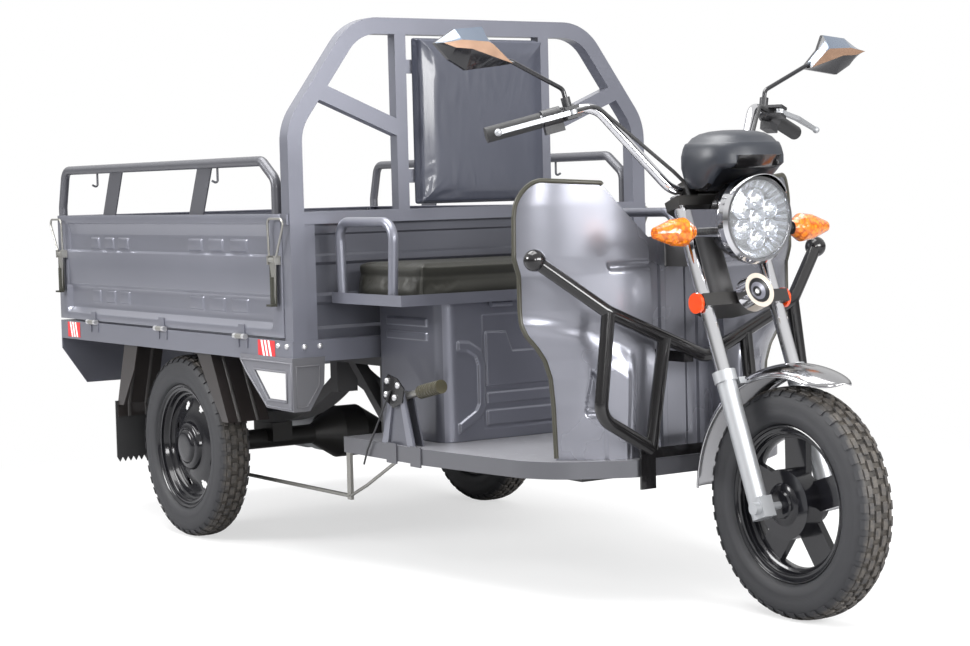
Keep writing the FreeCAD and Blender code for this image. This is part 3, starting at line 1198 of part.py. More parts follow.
# Handlebar and its controls. The controls are drawn along the grip axis and turned onto the bar's end.
sizes(
    bar_centre_half=92, bar_turn_x=1498, bar_turn_half=226, bar_turn_z=1090, grip_x=1400, grip_half=440,
    grip_z=1032,
    handle_bend=48, hand_grip_radius=17, hand_grip_length=120, grip_cap=3, grip_step=2,
    switch_radius=20, switch_start=124, switch_end=166, switch_drop=34, switch_width=26,
    perch_radius=16, perch_start=169, perch_end=200, perch_reach=52, perch_half=13, lever_slot=6.4,
    brake_pivot=42, brake_pivot_back=185, brake_pin=4, brake_boss=10, blade_thick=6, blade_half=5,
    blade_tip=64,
    blade_end=14, blade_bow=52, mirror_boss=10, mirror_boss_top=34, mirror_stem=5, mirror_stem_low=20,
)
turn = math.radians(float(S.rake))
clamp_x = float(S.wheelbase) - float(S.clamp_set) * math.cos(turn) - float(S.bar_rise) * math.sin(turn)
clamp_z = float(S.tyre_radius) - float(S.clamp_set) * math.sin(turn) + float(S.bar_rise) * math.cos(turn)
half_bar = [(S.grip_x, S.grip_half, S.grip_z), (S.bar_turn_x, S.bar_turn_half, S.bar_turn_z),
            (clamp_x, S.bar_centre_half, clamp_z)]
piece("handlebar", tube(half_bar + [(x, -y, z) for x, y, z in reversed(half_bar)], S.bar_tube_radius,
                        S.handle_bend))

bar_end = point((S.grip_x, S.grip_half, S.grip_z))
bar_way = (bar_end - point((S.bar_turn_x, S.bar_turn_half, S.bar_turn_z))).normalize()
bar_up = (Vector(0, 0, 1) - bar_way * bar_way.z).normalize()
bar_back = bar_up.cross(bar_way)
bar_frame = Placement(bar_end, Rotation(bar_back, bar_up, bar_way, "ZXY"))


def on_bar(*parts):
    """Controls put onto the left end of the bar."""
    obj = group(*parts)
    obj.Placement = bar_frame
    return obj


bar_hole = S.bar_tube_radius + S.running_gap


def sleeve(radius, inner, outer):
    """A ring on the bar between two distances from its end."""
    shell = rod(radius, inner - outer, (0, 0, -inner))
    return cut(shell, rod(bar_hole, inner - outer + 2 * S.overrun, (0, 0, -inner - S.overrun)))


def hand_grip():
    body = sleeve(S.hand_grip_radius, S.hand_grip_length, sized(0))
    return on_bar(fuse(body, rod(S.hand_grip_radius, S.grip_cap, (0, 0, 0))))


grip = hand_grip()
piece("left_grip", grip)
piece("throttle_grip", mirrored(hand_grip()))

switch_box = box((-S.switch_width / 2, -S.switch_drop, -S.switch_end),
                 (S.switch_width / 2, -S.bar_tube_radius - S.overrun, -S.switch_start))
switch = fuse(sleeve(S.switch_radius, S.switch_end, S.switch_start), switch_box)
arm_block = box((-S.perch_reach, -S.perch_half, -S.perch_end),
                (-S.bar_tube_radius - S.running_gap - S.grip_step, S.perch_half, -S.perch_start))
slot = box((-S.perch_reach - S.overrun, -S.lever_slot, -S.perch_end - S.overrun),
           (-S.perch_reach + 3 * S.brake_boss + S.grip_cap, S.lever_slot, -S.perch_start + S.overrun))
perch_pin = rod(S.brake_pin, 2 * S.perch_half, (-S.brake_pivot, -S.perch_half, -S.brake_pivot_back), "y")
boss_spot = (0, S.bar_tube_radius + S.grip_step, -S.brake_pivot_back)
mirror_boss = cut(rod(S.mirror_boss, S.mirror_boss_top - S.bar_tube_radius - S.grip_step, boss_spot, "y"),
                  rod(S.mirror_stem + S.running_gap, S.mirror_boss_top,
                      (0, S.mirror_stem_low - S.seat_gap, -S.brake_pivot_back), "y"))
perch = fuse(sleeve(S.perch_radius, S.perch_end, S.perch_start), cut(arm_block, slot), perch_pin, mirror_boss)
perch = cut(perch, rod(S.mirror_stem + S.running_gap, S.mirror_boss_top,
                       (0, S.mirror_stem_low - S.seat_gap, -S.brake_pivot_back), "y"))
controls = on_bar(switch, perch)
piece("switch_housings", group(controls, mirrored(controls)))

lever_hub = rod(S.brake_boss, 2 * S.blade_half, (-S.brake_pivot, -S.blade_half, -S.brake_pivot_back), "y")
blade = plate("XZ_Plane", [[
    (-S.brake_pivot - S.brake_boss / 2, -S.brake_pivot_back),
    (-S.brake_pivot + S.brake_boss / 2, -S.brake_pivot_back),
    (-S.blade_bow, -S.hand_grip_length), (S.blade_thick - S.blade_tip, -S.blade_end),
    (-S.blade_tip, -S.blade_end),
    (-S.blade_bow - 2 * S.blade_thick, -S.hand_grip_length),
]], 2 * S.blade_half, (0, -S.blade_half, 0))
tip = ball(S.blade_thick + S.grip_step, (-S.blade_tip + S.blade_thick / 2, 0, -S.blade_end))
lever_hole = rod(S.brake_pin + S.running_gap, 2 * S.perch_half,
                 (-S.brake_pivot, -S.perch_half, -S.brake_pivot_back), "y")
left_lever = on_bar(cut(fuse(lever_hub, blade, tip), lever_hole))
piece("brake_lever_left", left_lever)
piece("brake_lever_right", mirrored(left_lever))

# Mirrors: a bent stem turning in the perch boss, a domed shell and a glass.
sizes(
    mirror_stem_top=52, mirror_root_x=1467, mirror_root_half=417, mirror_root_z=1184, mirror_mid_x=1450,
    mirror_mid_half=470, mirror_mid_z=1200, mirror_bend=16, mirror_x=1446, mirror_half=512, mirror_z=1212,
    mirror_long=92, mirror_tall=46, mirror_deep=34, mirror_lip=9, mirror_glass=2.5,
)
RIM_SHARES = ((-1, 0.72), (-0.48, -0.24), (-0.3, -1), (0.45, -0.86), (1, -0.2), (0.62, 0.52), (0.16, 1))
BAND_SHARES = ((-0.95, 0.7), (-0.44, -0.14), (-0.3, -0.28), (0.42, -0.34), (0.93, -0.18), (0.6, 0.02),
               (0.16, 0.06))
GLASS_SHARE = 0.93
stem_low = bar_frame.multVec(point((0, S.mirror_stem_low, -S.brake_pivot_back)))
stem_high = bar_frame.multVec(point((0, S.mirror_stem_top, -S.brake_pivot_back)))
stalk = tube([stem_low, stem_high, (S.mirror_root_x, S.mirror_root_half, S.mirror_root_z),
              (S.mirror_mid_x, S.mirror_mid_half, S.mirror_mid_z)], S.mirror_stem, S.mirror_bend)


def mirror_ring(shares, size, ahead):
    """A pointed outline of the mirror head, seen from the front, at a distance ahead of the glass."""
    corners = [point((S.mirror_x + ahead, S.mirror_half + S.mirror_long * (size * y),
                      S.mirror_z - S.mirror_tall * (size * z)))
               for y, z in shares]
    return Part.makePolygon(corners + corners[:1])


shell_shape = Part.makeLoft([mirror_ring(RIM_SHARES, 1, sized(0)), mirror_ring(RIM_SHARES, 1, S.mirror_lip),
                             mirror_ring(BAND_SHARES, 1, S.mirror_deep)], True, True)
glass = Part.makeLoft([mirror_ring(RIM_SHARES, GLASS_SHARE, -S.mirror_glass),
                       mirror_ring(RIM_SHARES, GLASS_SHARE, sized(0))], True, True)
left_mirror = group(fuse(stalk, solid(shell_shape)), solid(glass))
piece("mirror_left", left_mirror)
piece("mirror_right", mirrored(left_mirror))

# Lamps, horn and meter on the fork, with the ears that carry the headlamp.
sizes(
    shell_back=118, shell_back_radius=52, shell_waist=58, shell_waist_radius=82, shell_lip=14, bowl_radius=84,
    bowl_waist=50, bowl_waist_radius=62, bowl_back=74, bezel_radius=96, bezel_back=16, bezel_front=9,
    lens_radius=84,
    lens_dome=15, lens_edge=5, lens_waist_radius=56, lens_waist=12,
    signal_x=1716, signal_z=816, signal_stalk=8, signal_root=139, signal_base=15, signal_belly=31,
    signal_belly_spot=26,
    signal_waist=28, signal_waist_spot=56, signal_tip=12, signal_length=102,
    horn_radius=38, horn_neck=9, horn_stand=12, horn_depth=32, horn_dish=30, horn_dish_depth=10, horn_z=454,
    horn_y=0,
    meter_post=10, meter_set=2, meter_base=764, meter_rear=1585, meter_front=1795, meter_half=115,
    meter_corner=80,
    meter_low=938, meter_low_draw=18, meter_belly=958, meter_belly_draw=2, meter_waist=980, meter_brow=1004,
    meter_brow_draw=10, meter_crown=1020, meter_crown_draw=32, meter_top=1030, meter_top_draw=64,
    reflector_radius=22, reflector_thick=8,
)
lamp_at = (S.lamp_front, 0, S.lamp_z)
piece("headlamp_shell", turned([
    (0, -S.shell_back), (S.shell_back_radius, S.shell_lip - S.shell_back),
    (S.shell_waist_radius, -S.shell_waist),
    (S.lamp_shell_radius, -S.shell_lip), (S.lamp_shell_radius, 0), (S.bowl_radius, 0),
    (S.bowl_waist_radius, -S.bowl_waist), (0, -S.bowl_back),
], lamp_at, "x"))
piece("headlamp_bezel", turned([
    (S.lamp_shell_radius + S.running_gap, -S.bezel_back), (S.bezel_radius, -S.bezel_back),
    (S.bezel_radius, 0),
    (S.lamp_shell_radius, S.bezel_front), (S.lens_radius + S.seat_gap, S.bezel_front),
    (S.lens_radius + S.seat_gap, S.running_gap), (S.lamp_shell_radius + S.running_gap, S.running_gap),
], lamp_at, "x"))
piece("headlamp_lens", turned([
    (0, S.seat_gap), (S.lens_radius, S.seat_gap), (S.lens_radius, S.lens_edge),
    (S.lens_waist_radius, S.lens_waist),
    (0, S.lens_dome),
], lamp_at, "x"))

stalk_start = ear_near + S.ear_plate
stalk_run = rod(S.signal_stalk, S.signal_root - stalk_start, (S.signal_x, stalk_start, S.signal_z), "y")
bulb = turned([
    (0, 0), (S.signal_base, 0), (S.signal_belly, S.signal_belly_spot), (S.signal_waist, S.signal_waist_spot),
    (S.signal_tip, S.signal_length), (0, S.signal_length),
], (S.signal_x, S.signal_root, S.signal_z), "y")
signal = group(fuse(stalk_run, bulb))
piece("turn_signals", group(signal, mirrored(signal)))

horn_x = S.yoke_front
horn = turned([
    (0, 0), (S.horn_neck, 0), (S.horn_neck, S.horn_stand), (S.horn_radius, S.horn_stand),
    (S.horn_radius, S.horn_stand + S.horn_depth), (S.horn_dish, S.horn_stand + S.horn_depth),
    (S.horn_neck, S.horn_stand + S.horn_depth - S.horn_dish_depth),
    (0, S.horn_stand + S.horn_depth - S.horn_dish_depth / 2),
], (horn_x, S.horn_y, S.horn_z), "x")
piece("horn", on_fork(horn))

levels = [(S.meter_low, S.meter_low_draw), (S.meter_belly, S.meter_belly_draw), (S.meter_waist, sized(0)),
          (S.meter_brow, S.meter_brow_draw), (S.meter_crown, S.meter_crown_draw),
          (S.meter_top, S.meter_top_draw)]
meter_body = padding((S.meter_front - S.meter_rear) / 2, S.meter_half, S.meter_corner, levels,
                     ((S.meter_front + S.meter_rear) / 2, 0, 0), "z")
post = on_fork(rod(S.meter_post, S.meter_base - S.upper_yoke - S.upper_thick,
                   (-S.meter_set, 0, S.upper_yoke + S.upper_thick)))
piece("meter_housing", fuse(meter_body, post))

disc = rod(S.reflector_radius, S.reflector_thick, (-S.leg_set, S.yoke_half, S.lower_yoke + S.yoke_thick / 2),
           "y")
piece("fork_reflectors", on_fork(disc, mirrored(disc)))

# Control cables: tied along the front of the bar from each perch down to the upper yoke.
sizes(cord_radius=4, cord_bend=26, cord_stand=17, cord_end_half=74, cord_drop=42,
      cord_foot=30)
cord_start = bar_frame.multVec(point((-S.cord_stand, 0, -S.perch_end)))
cord_turn = point((S.bar_turn_x, S.bar_turn_half, S.bar_turn_z)) - bar_back * float(S.cord_stand)
cord_low = point((clamp_x, S.bar_centre_half, clamp_z + S.cord_drop)) - bar_back * float(S.cord_stand)
yoke_top = float(S.upper_yoke + S.upper_thick + S.seat_gap)
yoke_x = float(S.wheelbase) - yoke_top * math.sin(turn)
yoke_z = float(S.tyre_radius) + yoke_top * math.cos(turn)
cord_end = Vector(yoke_x, float(S.cord_end_half), yoke_z)
cord_foot = cord_end + Vector(-math.sin(turn), 0, math.cos(turn)) * float(S.cord_foot)
cord = tube([cord_start, cord_turn, cord_low, cord_foot, cord_end], S.cord_radius, S.cord_bend)
piece("control_cables", group(cord, mirrored(cord)))

# Finish: check every object, then write one file per piece in the frame centred on the vehicle.
doc.recompute()
for obj in doc.Objects:
    if "Invalid" in obj.State or "Error" in obj.State:
        raise RuntimeError("not built: " + obj.Name + " " + obj.Label)
os.makedirs("parts", exist_ok=True)
for name, obj in nodes.items():
    shape = obj.Shape.copy()
    if shape.isNull() or not shape.isValid() or not shape.Solids:
        raise RuntimeError("not a sound solid: " + name)
    shape.translate(Vector(float(S.axle_shift), 0, 0))
    shape.exportStep("parts/" + name + ".step")
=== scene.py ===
import math

import bmesh
import bpy
from mathutils import Matrix, Vector


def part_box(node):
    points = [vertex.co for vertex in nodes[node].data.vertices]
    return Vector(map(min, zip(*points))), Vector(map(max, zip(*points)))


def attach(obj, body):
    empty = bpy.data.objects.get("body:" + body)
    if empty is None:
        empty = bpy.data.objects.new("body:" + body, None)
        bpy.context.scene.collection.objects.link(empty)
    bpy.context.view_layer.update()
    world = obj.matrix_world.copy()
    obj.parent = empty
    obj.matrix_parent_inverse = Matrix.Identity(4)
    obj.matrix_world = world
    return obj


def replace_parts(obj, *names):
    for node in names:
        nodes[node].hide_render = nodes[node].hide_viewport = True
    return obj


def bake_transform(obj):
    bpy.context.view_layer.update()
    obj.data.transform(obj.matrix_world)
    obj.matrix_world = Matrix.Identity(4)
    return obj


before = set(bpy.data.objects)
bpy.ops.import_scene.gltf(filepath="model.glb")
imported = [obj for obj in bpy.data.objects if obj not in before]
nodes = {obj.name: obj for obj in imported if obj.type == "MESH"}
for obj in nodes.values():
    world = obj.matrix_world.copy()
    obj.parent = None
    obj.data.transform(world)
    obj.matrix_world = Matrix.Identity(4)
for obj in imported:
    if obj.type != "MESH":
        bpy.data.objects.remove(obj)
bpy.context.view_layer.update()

# Camera: a long lens from the front right, a little above the deck, as the photograph was taken. Metres, X
# forward, Y to the rider's left, Z up; heights are counted from the ground.
CAMERA_AT = Vector((4.500, -3.015, 0.922))
CAMERA_TURN = math.radians(56.03)
CAMERA_DIP = math.radians(3.66)
CAMERA_ROLL = math.radians(-1.44)
ahead = Vector((-math.sin(CAMERA_TURN) * math.cos(CAMERA_DIP), math.cos(CAMERA_TURN) * math.cos(CAMERA_DIP),
                -math.sin(CAMERA_DIP)))
side = Vector((math.cos(CAMERA_TURN), math.sin(CAMERA_TURN), 0))
top = side.cross(ahead)
right = side * math.cos(CAMERA_ROLL) + top * math.sin(CAMERA_ROLL)
above = top * math.cos(CAMERA_ROLL) - side * math.sin(CAMERA_ROLL)
camera = bpy.data.objects.new("camera", bpy.data.cameras.new("camera"))
bpy.context.scene.collection.objects.link(camera)
camera.data.sensor_width = 36.0
camera.data.lens = 79.15
camera.data.clip_end = 100.0
camera.matrix_world = Matrix((
    (right.x, above.x, -ahead.x, CAMERA_AT.x),
    (right.y, above.y, -ahead.y, CAMERA_AT.y),
    (right.z, above.z, -ahead.z, CAMERA_AT.z),
    (0, 0, 0, 1),
))
bpy.context.scene.camera = camera

# Studio: a pale floor that turns plain white away from the tricycle, four soft lamps, and a surround that
# is white to the camera and a bright sky over a dim horizon to everything else.
FLOOR_HALF = 30


class Shade:
    """A shader socket that takes arithmetic, and the one way nodes are made."""

    def __init__(self, tree, socket=None):
        self.tree = tree
        self.socket = socket

    def make(self, kind, sockets=None, out=0, **settings):
        node = self.tree.nodes.new(kind)
        for name, value in settings.items():
            setattr(node, name, value)
        for name, value in (sockets or {}).items():
            if isinstance(value, Shade):
                self.tree.links.new(value.socket, node.inputs[name])
            else:
                node.inputs[name].default_value = value
        return Shade(self.tree, node.outputs[out])

    def maths(self, operation, *values):
        return self.make("ShaderNodeMath", dict(enumerate(values)), operation=operation)

    def __add__(self, other):
        return self.maths("ADD", self, other)

    def __sub__(self, other):
        return self.maths("SUBTRACT", self, other)

    def __mul__(self, other):
        return self.maths("MULTIPLY", self, other)

    def __pow__(self, other):
        return self.maths("POWER", self, other)

    def __gt__(self, other):
        return self.maths("GREATER_THAN", self, other)

    def __lt__(self, other):
        return self.maths("LESS_THAN", self, other)

    def __radd__(self, other):
        return self.maths("ADD", other, self)

    def __rsub__(self, other):
        return self.maths("SUBTRACT", other, self)

    def __rmul__(self, other):
        return self.maths("MULTIPLY", other, self)

    def __abs__(self):
        return self.maths("ABSOLUTE", self)

    def wave(self, pitch):
        return self.maths("SINE", self * pitch)

    def place(self):
        """Object coordinates, which are the vehicle's own metres."""
        return self.make("ShaderNodeTexCoord", out=3)

    def noise(self, scale, detail=3.0, rough=0.5, distortion=0.0):
        return self.make("ShaderNodeTexNoise", {"Vector": self.place(), "Scale": scale, "Detail": detail,
                                                "Roughness": rough, "Distortion": distortion})

    def axis(self, letter):
        return self.make("ShaderNodeSeparateXYZ", {0: self.place()}, "XYZ".index(letter))

    def rise(self, low, high):
        """Climbs from 0 to 1 between two limits."""
        return self.make("ShaderNodeMapRange", {"Value": self, "From Min": low, "From Max": high},
                         interpolation_type="SMOOTHSTEP")

    def band(self, low, high, soft):
        """Rises from 0 to 1 and falls again between two limits, with soft shoulders."""
        return self.rise(low - soft, low + soft) * (1.0 - self.rise(high - soft, high + soft))

    def blend(self, first, second):
        """Mix two colours by this value."""
        return self.make("ShaderNodeMix", {0: self, 6: first, 7: second}, 2, data_type="RGBA")

    def bumped(self, strength, distance):
        return self.make("ShaderNodeBump", {"Height": self, "Strength": strength, "Distance": distance})


def rgba(colour):
    return tuple(colour) + (1.0,)


class Finish:
    """A material: a base colour with slow variation, roughness that wanders, and a fine grain."""

    def __init__(self, name, colour, rough, metal=0.0, vary=0.10, patch=3.0, grain=0.0, grain_scale=400.0,
                 rough_vary=0.08, **fixed):
        self.material = bpy.data.materials.new(name)
        self.material.use_nodes = True
        tree = self.material.node_tree
        self.bsdf = tree.nodes["Principled BSDF"]
        self.shade = Shade(tree)
        self.bsdf.inputs["Metallic"].default_value = metal
        for socket, value in fixed.items():
            self.bsdf.inputs[socket.replace("_", " ")].default_value = value
        slow = self.shade.noise(patch, 4.0, 0.6)
        low = rgba(value * (1.0 - vary) for value in colour)
        high = rgba(min(1.0, value * (1.0 + vary)) for value in colour)
        self.colour = slow.blend(low, high)
        self.feed("Base Color", self.colour)
        self.feed("Roughness", slow * (2.0 * rough_vary) + (rough - rough_vary))
        if grain:
            self.feed("Normal", self.shade.noise(grain_scale, 2.0).bumped(grain, 0.001))

    def feed(self, socket, value):
        self.shade.tree.links.new(value.socket, self.bsdf.inputs[socket])

    def tint(self, mask, colour):
        """Lay another colour over part of the surface."""
        self.colour = mask.blend(self.colour, rgba(colour))
        self.feed("Base Color", self.colour)

    def cover(self, mask, shader):
        """Show another shader where the mask is 1."""
        own = Shade(self.shade.tree, self.bsdf.outputs[0])
        whole = self.shade.make("ShaderNodeMixShader", {0: mask, 1: own, 2: shader})
        self.shade.tree.links.new(whole.socket, self.shade.tree.nodes["Material Output"].inputs["Surface"])

    def dress(self, *names):
        """Put the finish on construction pieces."""
        for name in names:
            mesh = nodes[name].data
            mesh.materials.clear()
            mesh.materials.append(self.material)


world = bpy.data.worlds.new("studio")
bpy.context.scene.world = world
world.use_nodes = True
sky = Shade(world.node_tree)
seen = sky.make("ShaderNodeLightPath")
heading = sky.make("ShaderNodeTexCoord")
glow = sky.make("ShaderNodeSeparateXYZ", {0: heading}, 2).rise(-0.02, 0.45) * 0.78 + 0.17
surround = world.node_tree.nodes["Background"]
world.node_tree.links.new((glow + seen * (1.0 - glow)).socket, surround.inputs["Strength"])
surround.inputs["Color"].default_value = (1.0, 1.0, 1.0, 1.0)

floor_mesh = bpy.data.meshes.new("studio floor")
floor_corners = [(x * FLOOR_HALF, y * FLOOR_HALF, 0) for x, y in ((-1, -1), (1, -1), (1, 1), (-1, 1))]
floor_mesh.from_pydata(floor_corners, [], [(0, 1, 2, 3)])
studio_floor = bpy.data.objects.new("studio_floor", floor_mesh)
bpy.context.scene.collection.objects.link(studio_floor)
floor_finish = Finish("studio floor", (0.93, 0.93, 0.93), 0.75, vary=0.01)
ground = floor_finish.shade
far = (ground.axis("X") * ground.axis("X") + ground.axis("Y") * ground.axis("Y")) ** 0.5
by_eye = ground.make("ShaderNodeLightPath")
floor_finish.tint(1.0 - by_eye, (0.42, 0.42, 0.43))
plain_white = ground.make("ShaderNodeEmission", {"Strength": 1.0})
floor_finish.cover((far.rise(1.3, 2.5) * 0.40 + 0.60) * by_eye, plain_white)
floor_mesh.materials.append(floor_finish.material)


def soft_lamp(name, at, aim, size, power):
    lamp = bpy.data.lights.new(name, "AREA")
    lamp.shape = "RECTANGLE"
    lamp.size, lamp.size_y = size
    lamp.energy = power
    obj = bpy.data.objects.new(name, lamp)
    obj.location = at
    obj.rotation_euler = (Vector(aim) - Vector(at)).to_track_quat("-Z", "Y").to_euler()
    bpy.context.scene.collection.objects.link(obj)


soft_lamp("overhead", (-0.2, -0.8, 4.2), (-0.1, 0, 0.4), (4.0, 3.0), 290)
soft_lamp("front", (6.0, 0.5, 2.1), (0.6, 0, 0.8), (3.2, 1.7), 330)
soft_lamp("right side", (-1.7, -4.3, 2.5), (-0.9, -0.4, 0.7), (2.2, 1.2), 175)
soft_lamp("fill", (4.8, -2.4, 1.7), (0.3, -0.2, 0.5), (0.9, 0.9), 55)
bpy.context.scene.view_settings.view_transform = "Standard"

# Chassis: welded steel rails and head tube under dull dark paint, as packed. Every construction piece keeps
# crisp folds and smooth rounds, so its shading is split at the sharper edges here.
def smooth(mesh):
    for polygon in mesh.polygons:
        polygon.use_smooth = True
    return mesh


def crisp(obj, degrees=32):
    """Split the shading at folds sharper than an angle."""
    obj.modifiers.new("edge split", "EDGE_SPLIT").split_angle = math.radians(degrees)


for name in nodes:
    smooth(nodes[name].data)
    crisp(nodes[name])
frame_paint = Finish("frame paint", (0.075, 0.074, 0.076), 0.55, 0.2, vary=0.2, grain=0.05)
frame_paint.dress("chassis_frame")

# Leaf springs: dark steel bows, painted like the frame. Each half is cut from the construction piece, runs
# between its hanger on the frame and its seat on the axle, and has its long edges cut finer.
AXLE_X = -0.695
SPRING_RUN = 0.04


def finished(grid, name, *finishes):
    """Close a bmesh into a mesh that wears the finishes."""
    mesh = bpy.data.meshes.new(name)
    grid.to_mesh(mesh)
    grid.free()
    for finish in finishes:
        mesh.materials.append(finish.material)
    return mesh


for word, sign in (("front", 1), ("rear", -1)):
    half = bmesh.new()
    half.from_mesh(nodes["leaf_springs"].data)
    bmesh.ops.bisect_plane(half, geom=half.verts[:] + half.edges[:] + half.faces[:], plane_co=(AXLE_X, 0, 0),
                           plane_no=(-sign, 0, 0), clear_outer=True)
    long_edges = [edge for edge in half.edges if edge.calc_length() > SPRING_RUN]
    bmesh.ops.subdivide_edges(half, edges=long_edges, cuts=3)
    springs = bpy.data.objects.new("leaf_springs_" + word, finished(half, "leaf springs", frame_paint))
    bpy.context.scene.collection.objects.link(springs)
    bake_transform(springs)
    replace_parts(springs, "leaf_springs")

# Rear axle and motor, battery, buffers, mud flaps and tail lamps: black iron, cast silver, black plastic,
# rubber and red lenses. All are construction pieces bolted under the bed.
black_metal = Finish("black iron", (0.025, 0.024, 0.023), 0.42, 0.3, vary=0.3, grain=0.1)
black_metal.dress("rear_axle_housing")
silver = Finish("cast silver", (0.40, 0.41, 0.425), 0.42, 0.65, vary=0.05, grain=0.08)
silver.dress("drive_motor")
black_plastic = Finish("black plastic", (0.022, 0.022, 0.024), 0.42, vary=0.15, grain=0.06, grain_scale=1500)
black_plastic.dress("battery_pack", "rear_buffers")
rubber = Finish("rubber", (0.024, 0.024, 0.025), 0.66, vary=0.2, grain=0.08, grain_scale=900)
rubber.dress("mud_flaps")
red_lens = Finish("red lens", (0.55, 0.012, 0.01), 0.15, vary=0.10, patch=30, Coat_Weight=0.6)
red_lens.dress("tail_lamps")

# Tyres: a rubber carcass turned through its section, with moulded blocks in staggered rows and side lugs.
# They stand for the plain construction tyres and turn with their wheels.
WHEELBASE = 1.880
TYRE_RADIUS = 0.245
TRACK_HALF = 0.466
TYRE_SECTION = ((0.152, 0.030), (0.1675, 0.0302), (0.1695, 0.038), (0.174, 0.0425), (0.186, 0.0447),
                (0.192, 0.0455), (0.194, 0.0449), (0.205, 0.0458), (0.216, 0.0447), (0.226, 0.0418),
                (0.233, 0.0375), (0.2375, 0.0315), (0.2392, 0.022), (0.2394, 0.0))
TYRE_STEPS = 108
BLOCK_PITCHES = 44
BLOCK_ROWS = ((-0.0300, -0.0195, 0.0), (-0.0165, -0.0028, 0.5), (0.0028, 0.0165, 0.0), (0.0195, 0.0300, 0.5))
BLOCK_START_SHARE, BLOCK_END_SHARE = 0.12, 0.82
BLOCK_BASE = 0.2385
BLOCK_LEAN = 0.0009
BLOCK_DROOP = 0.0035
TREAD_HALF = 0.030
LUG_RAIL = ((0.2385, 0.0302), (0.2345, 0.0372), (0.2270, 0.0424))
LUG_START_SHARE, LUG_LONG_SHARE = 0.25, 0.55
LUG_LIFT = 0.0022
SIDEWALL_MIDDLE = 0.205


def new_piece(name, mesh, body, location=(0, 0, 0)):
    """A visible piece that rides on one of the vehicle's bodies."""
    obj = bpy.data.objects.new(name, mesh)
    obj.location = location
    bpy.context.scene.collection.objects.link(obj)
    bpy.context.view_layer.update()
    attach(obj, body)
    return obj


def knit(grid, rows, flip=False, ring=False):
    """Fill the quads between neighbouring rows of vertices; a ring closes each row on itself."""
    for row, after in zip(rows, rows[1:]):
        for place in range(len(row) if ring else len(row) - 1):
            beside = (place + 1) % len(row)
            corners = [row[place], row[beside], after[beside], after[place]]
            grid.faces.new(corners[::-1] if flip else corners)


def on_wheel(radius, across, angle):
    return Vector((radius * math.cos(angle), across, radius * math.sin(angle)))


def block(grid, low, high, start, end):
    """One tread block: a curved box with sloping flanks."""
    turn_lean = BLOCK_LEAN / TYRE_RADIUS
    middle = (start + end) / 2
    foot = [on_wheel(BLOCK_BASE, across, angle) for angle in (start, middle, end) for across in (low, high)]
    head = []
    for angle in (start + turn_lean, middle, end - turn_lean):
        for across in (low + BLOCK_LEAN, high - BLOCK_LEAN):
            droop = BLOCK_DROOP * (abs(across) / TREAD_HALF) ** 3
            head.append(on_wheel(TYRE_RADIUS - droop, across, angle))
    lower = [grid.verts.new(spot) for spot in foot]
    upper = [grid.verts.new(spot) for spot in head]
    for near, far in ((0, 2), (2, 4)):
        grid.faces.new((upper[near], upper[near + 1], upper[far + 1], upper[far]))
        grid.faces.new((lower[near], upper[near], upper[far], lower[far]))
        grid.faces.new((lower[far + 1], upper[far + 1], upper[near + 1], lower[near + 1]))
    grid.faces.new((lower[0], lower[1], upper[1], upper[0]))
    grid.faces.new((lower[4], upper[4], upper[5], lower[5]))


def lug(grid, side_sign, start, end):
    """A shoulder lug that runs from the tread edge down the side."""
    rows = []
    for radius, across in LUG_RAIL:
        out = Vector((radius - SIDEWALL_MIDDLE, across)).normalized() * LUG_LIFT
        inner, outer = (radius, side_sign * across), (radius + out.x, side_sign * (across + out.y))
        ring = (inner, start), (inner, end), (outer, end), (outer, start)
        rows.append([grid.verts.new(on_wheel(*spot, angle)) for spot, angle in ring])
    for row, after in zip(rows, rows[1:]):
        for place in (1, 2, 3):
            other = (place + 1) % 4
            grid.faces.new((row[place], row[other], after[other], after[place]))
    grid.faces.new(rows[0])
    grid.faces.new(rows[-1])


tyre = bmesh.new()
section = [(radius, -across) for radius, across in TYRE_SECTION]
section += [(radius, across) for radius, across in reversed(TYRE_SECTION[:-1])]
rings = []
for step in range(TYRE_STEPS):
    angle = math.tau * step / TYRE_STEPS
    rings.append([tyre.verts.new(on_wheel(radius, across, angle)) for radius, across in section])
knit(tyre, rings + rings[:1])
for face in tyre.faces:
    face.smooth = True
pitch = math.tau / BLOCK_PITCHES
for step in range(BLOCK_PITCHES):
    for low, high, stagger in BLOCK_ROWS:
        start = (step + stagger) * pitch
        block(tyre, low, high, start + BLOCK_START_SHARE * pitch, start + BLOCK_END_SHARE * pitch)
    for side_sign in (-1, 1):
        start = (step + LUG_START_SHARE) * pitch
        lug(tyre, side_sign, start, start + LUG_LONG_SHARE * pitch)
tyre.normal_update()
tyre_rubber = Finish("tyre rubber", (0.022, 0.0225, 0.0255), 0.62, vary=0.22, patch=14, grain=0.12,
                     grain_scale=500)
rub = tyre_rubber.shade
from_axle = (rub.axis("X") * rub.axis("X") + rub.axis("Z") * rub.axis("Z")) ** 0.5
ribs = from_axle.wave(2400.0) * from_axle.band(0.196, 0.214, 0.002)
tyre_rubber.feed("Normal", ribs.bumped(0.25, 0.0006))
# The floors between the tread blocks are painted near-black as painted shade in the grooves.
groove = from_axle.band(0.2360, 0.2400, 0.0006) * (abs(rub.axis("Y")) < 0.0302)
tyre_rubber.tint(groove, (0.0035, 0.0035, 0.004))
dust = rub.noise(60.0, 6.0, 0.75).rise(0.25, 0.75) * from_axle.rise(0.2330, 0.2415)
tyre_rubber.tint(dust * 0.70, (0.125, 0.108, 0.088))
tread = finished(tyre, "tyre", tyre_rubber)
FRONT_AT = Vector((AXLE_X + WHEELBASE, 0, TYRE_RADIUS))
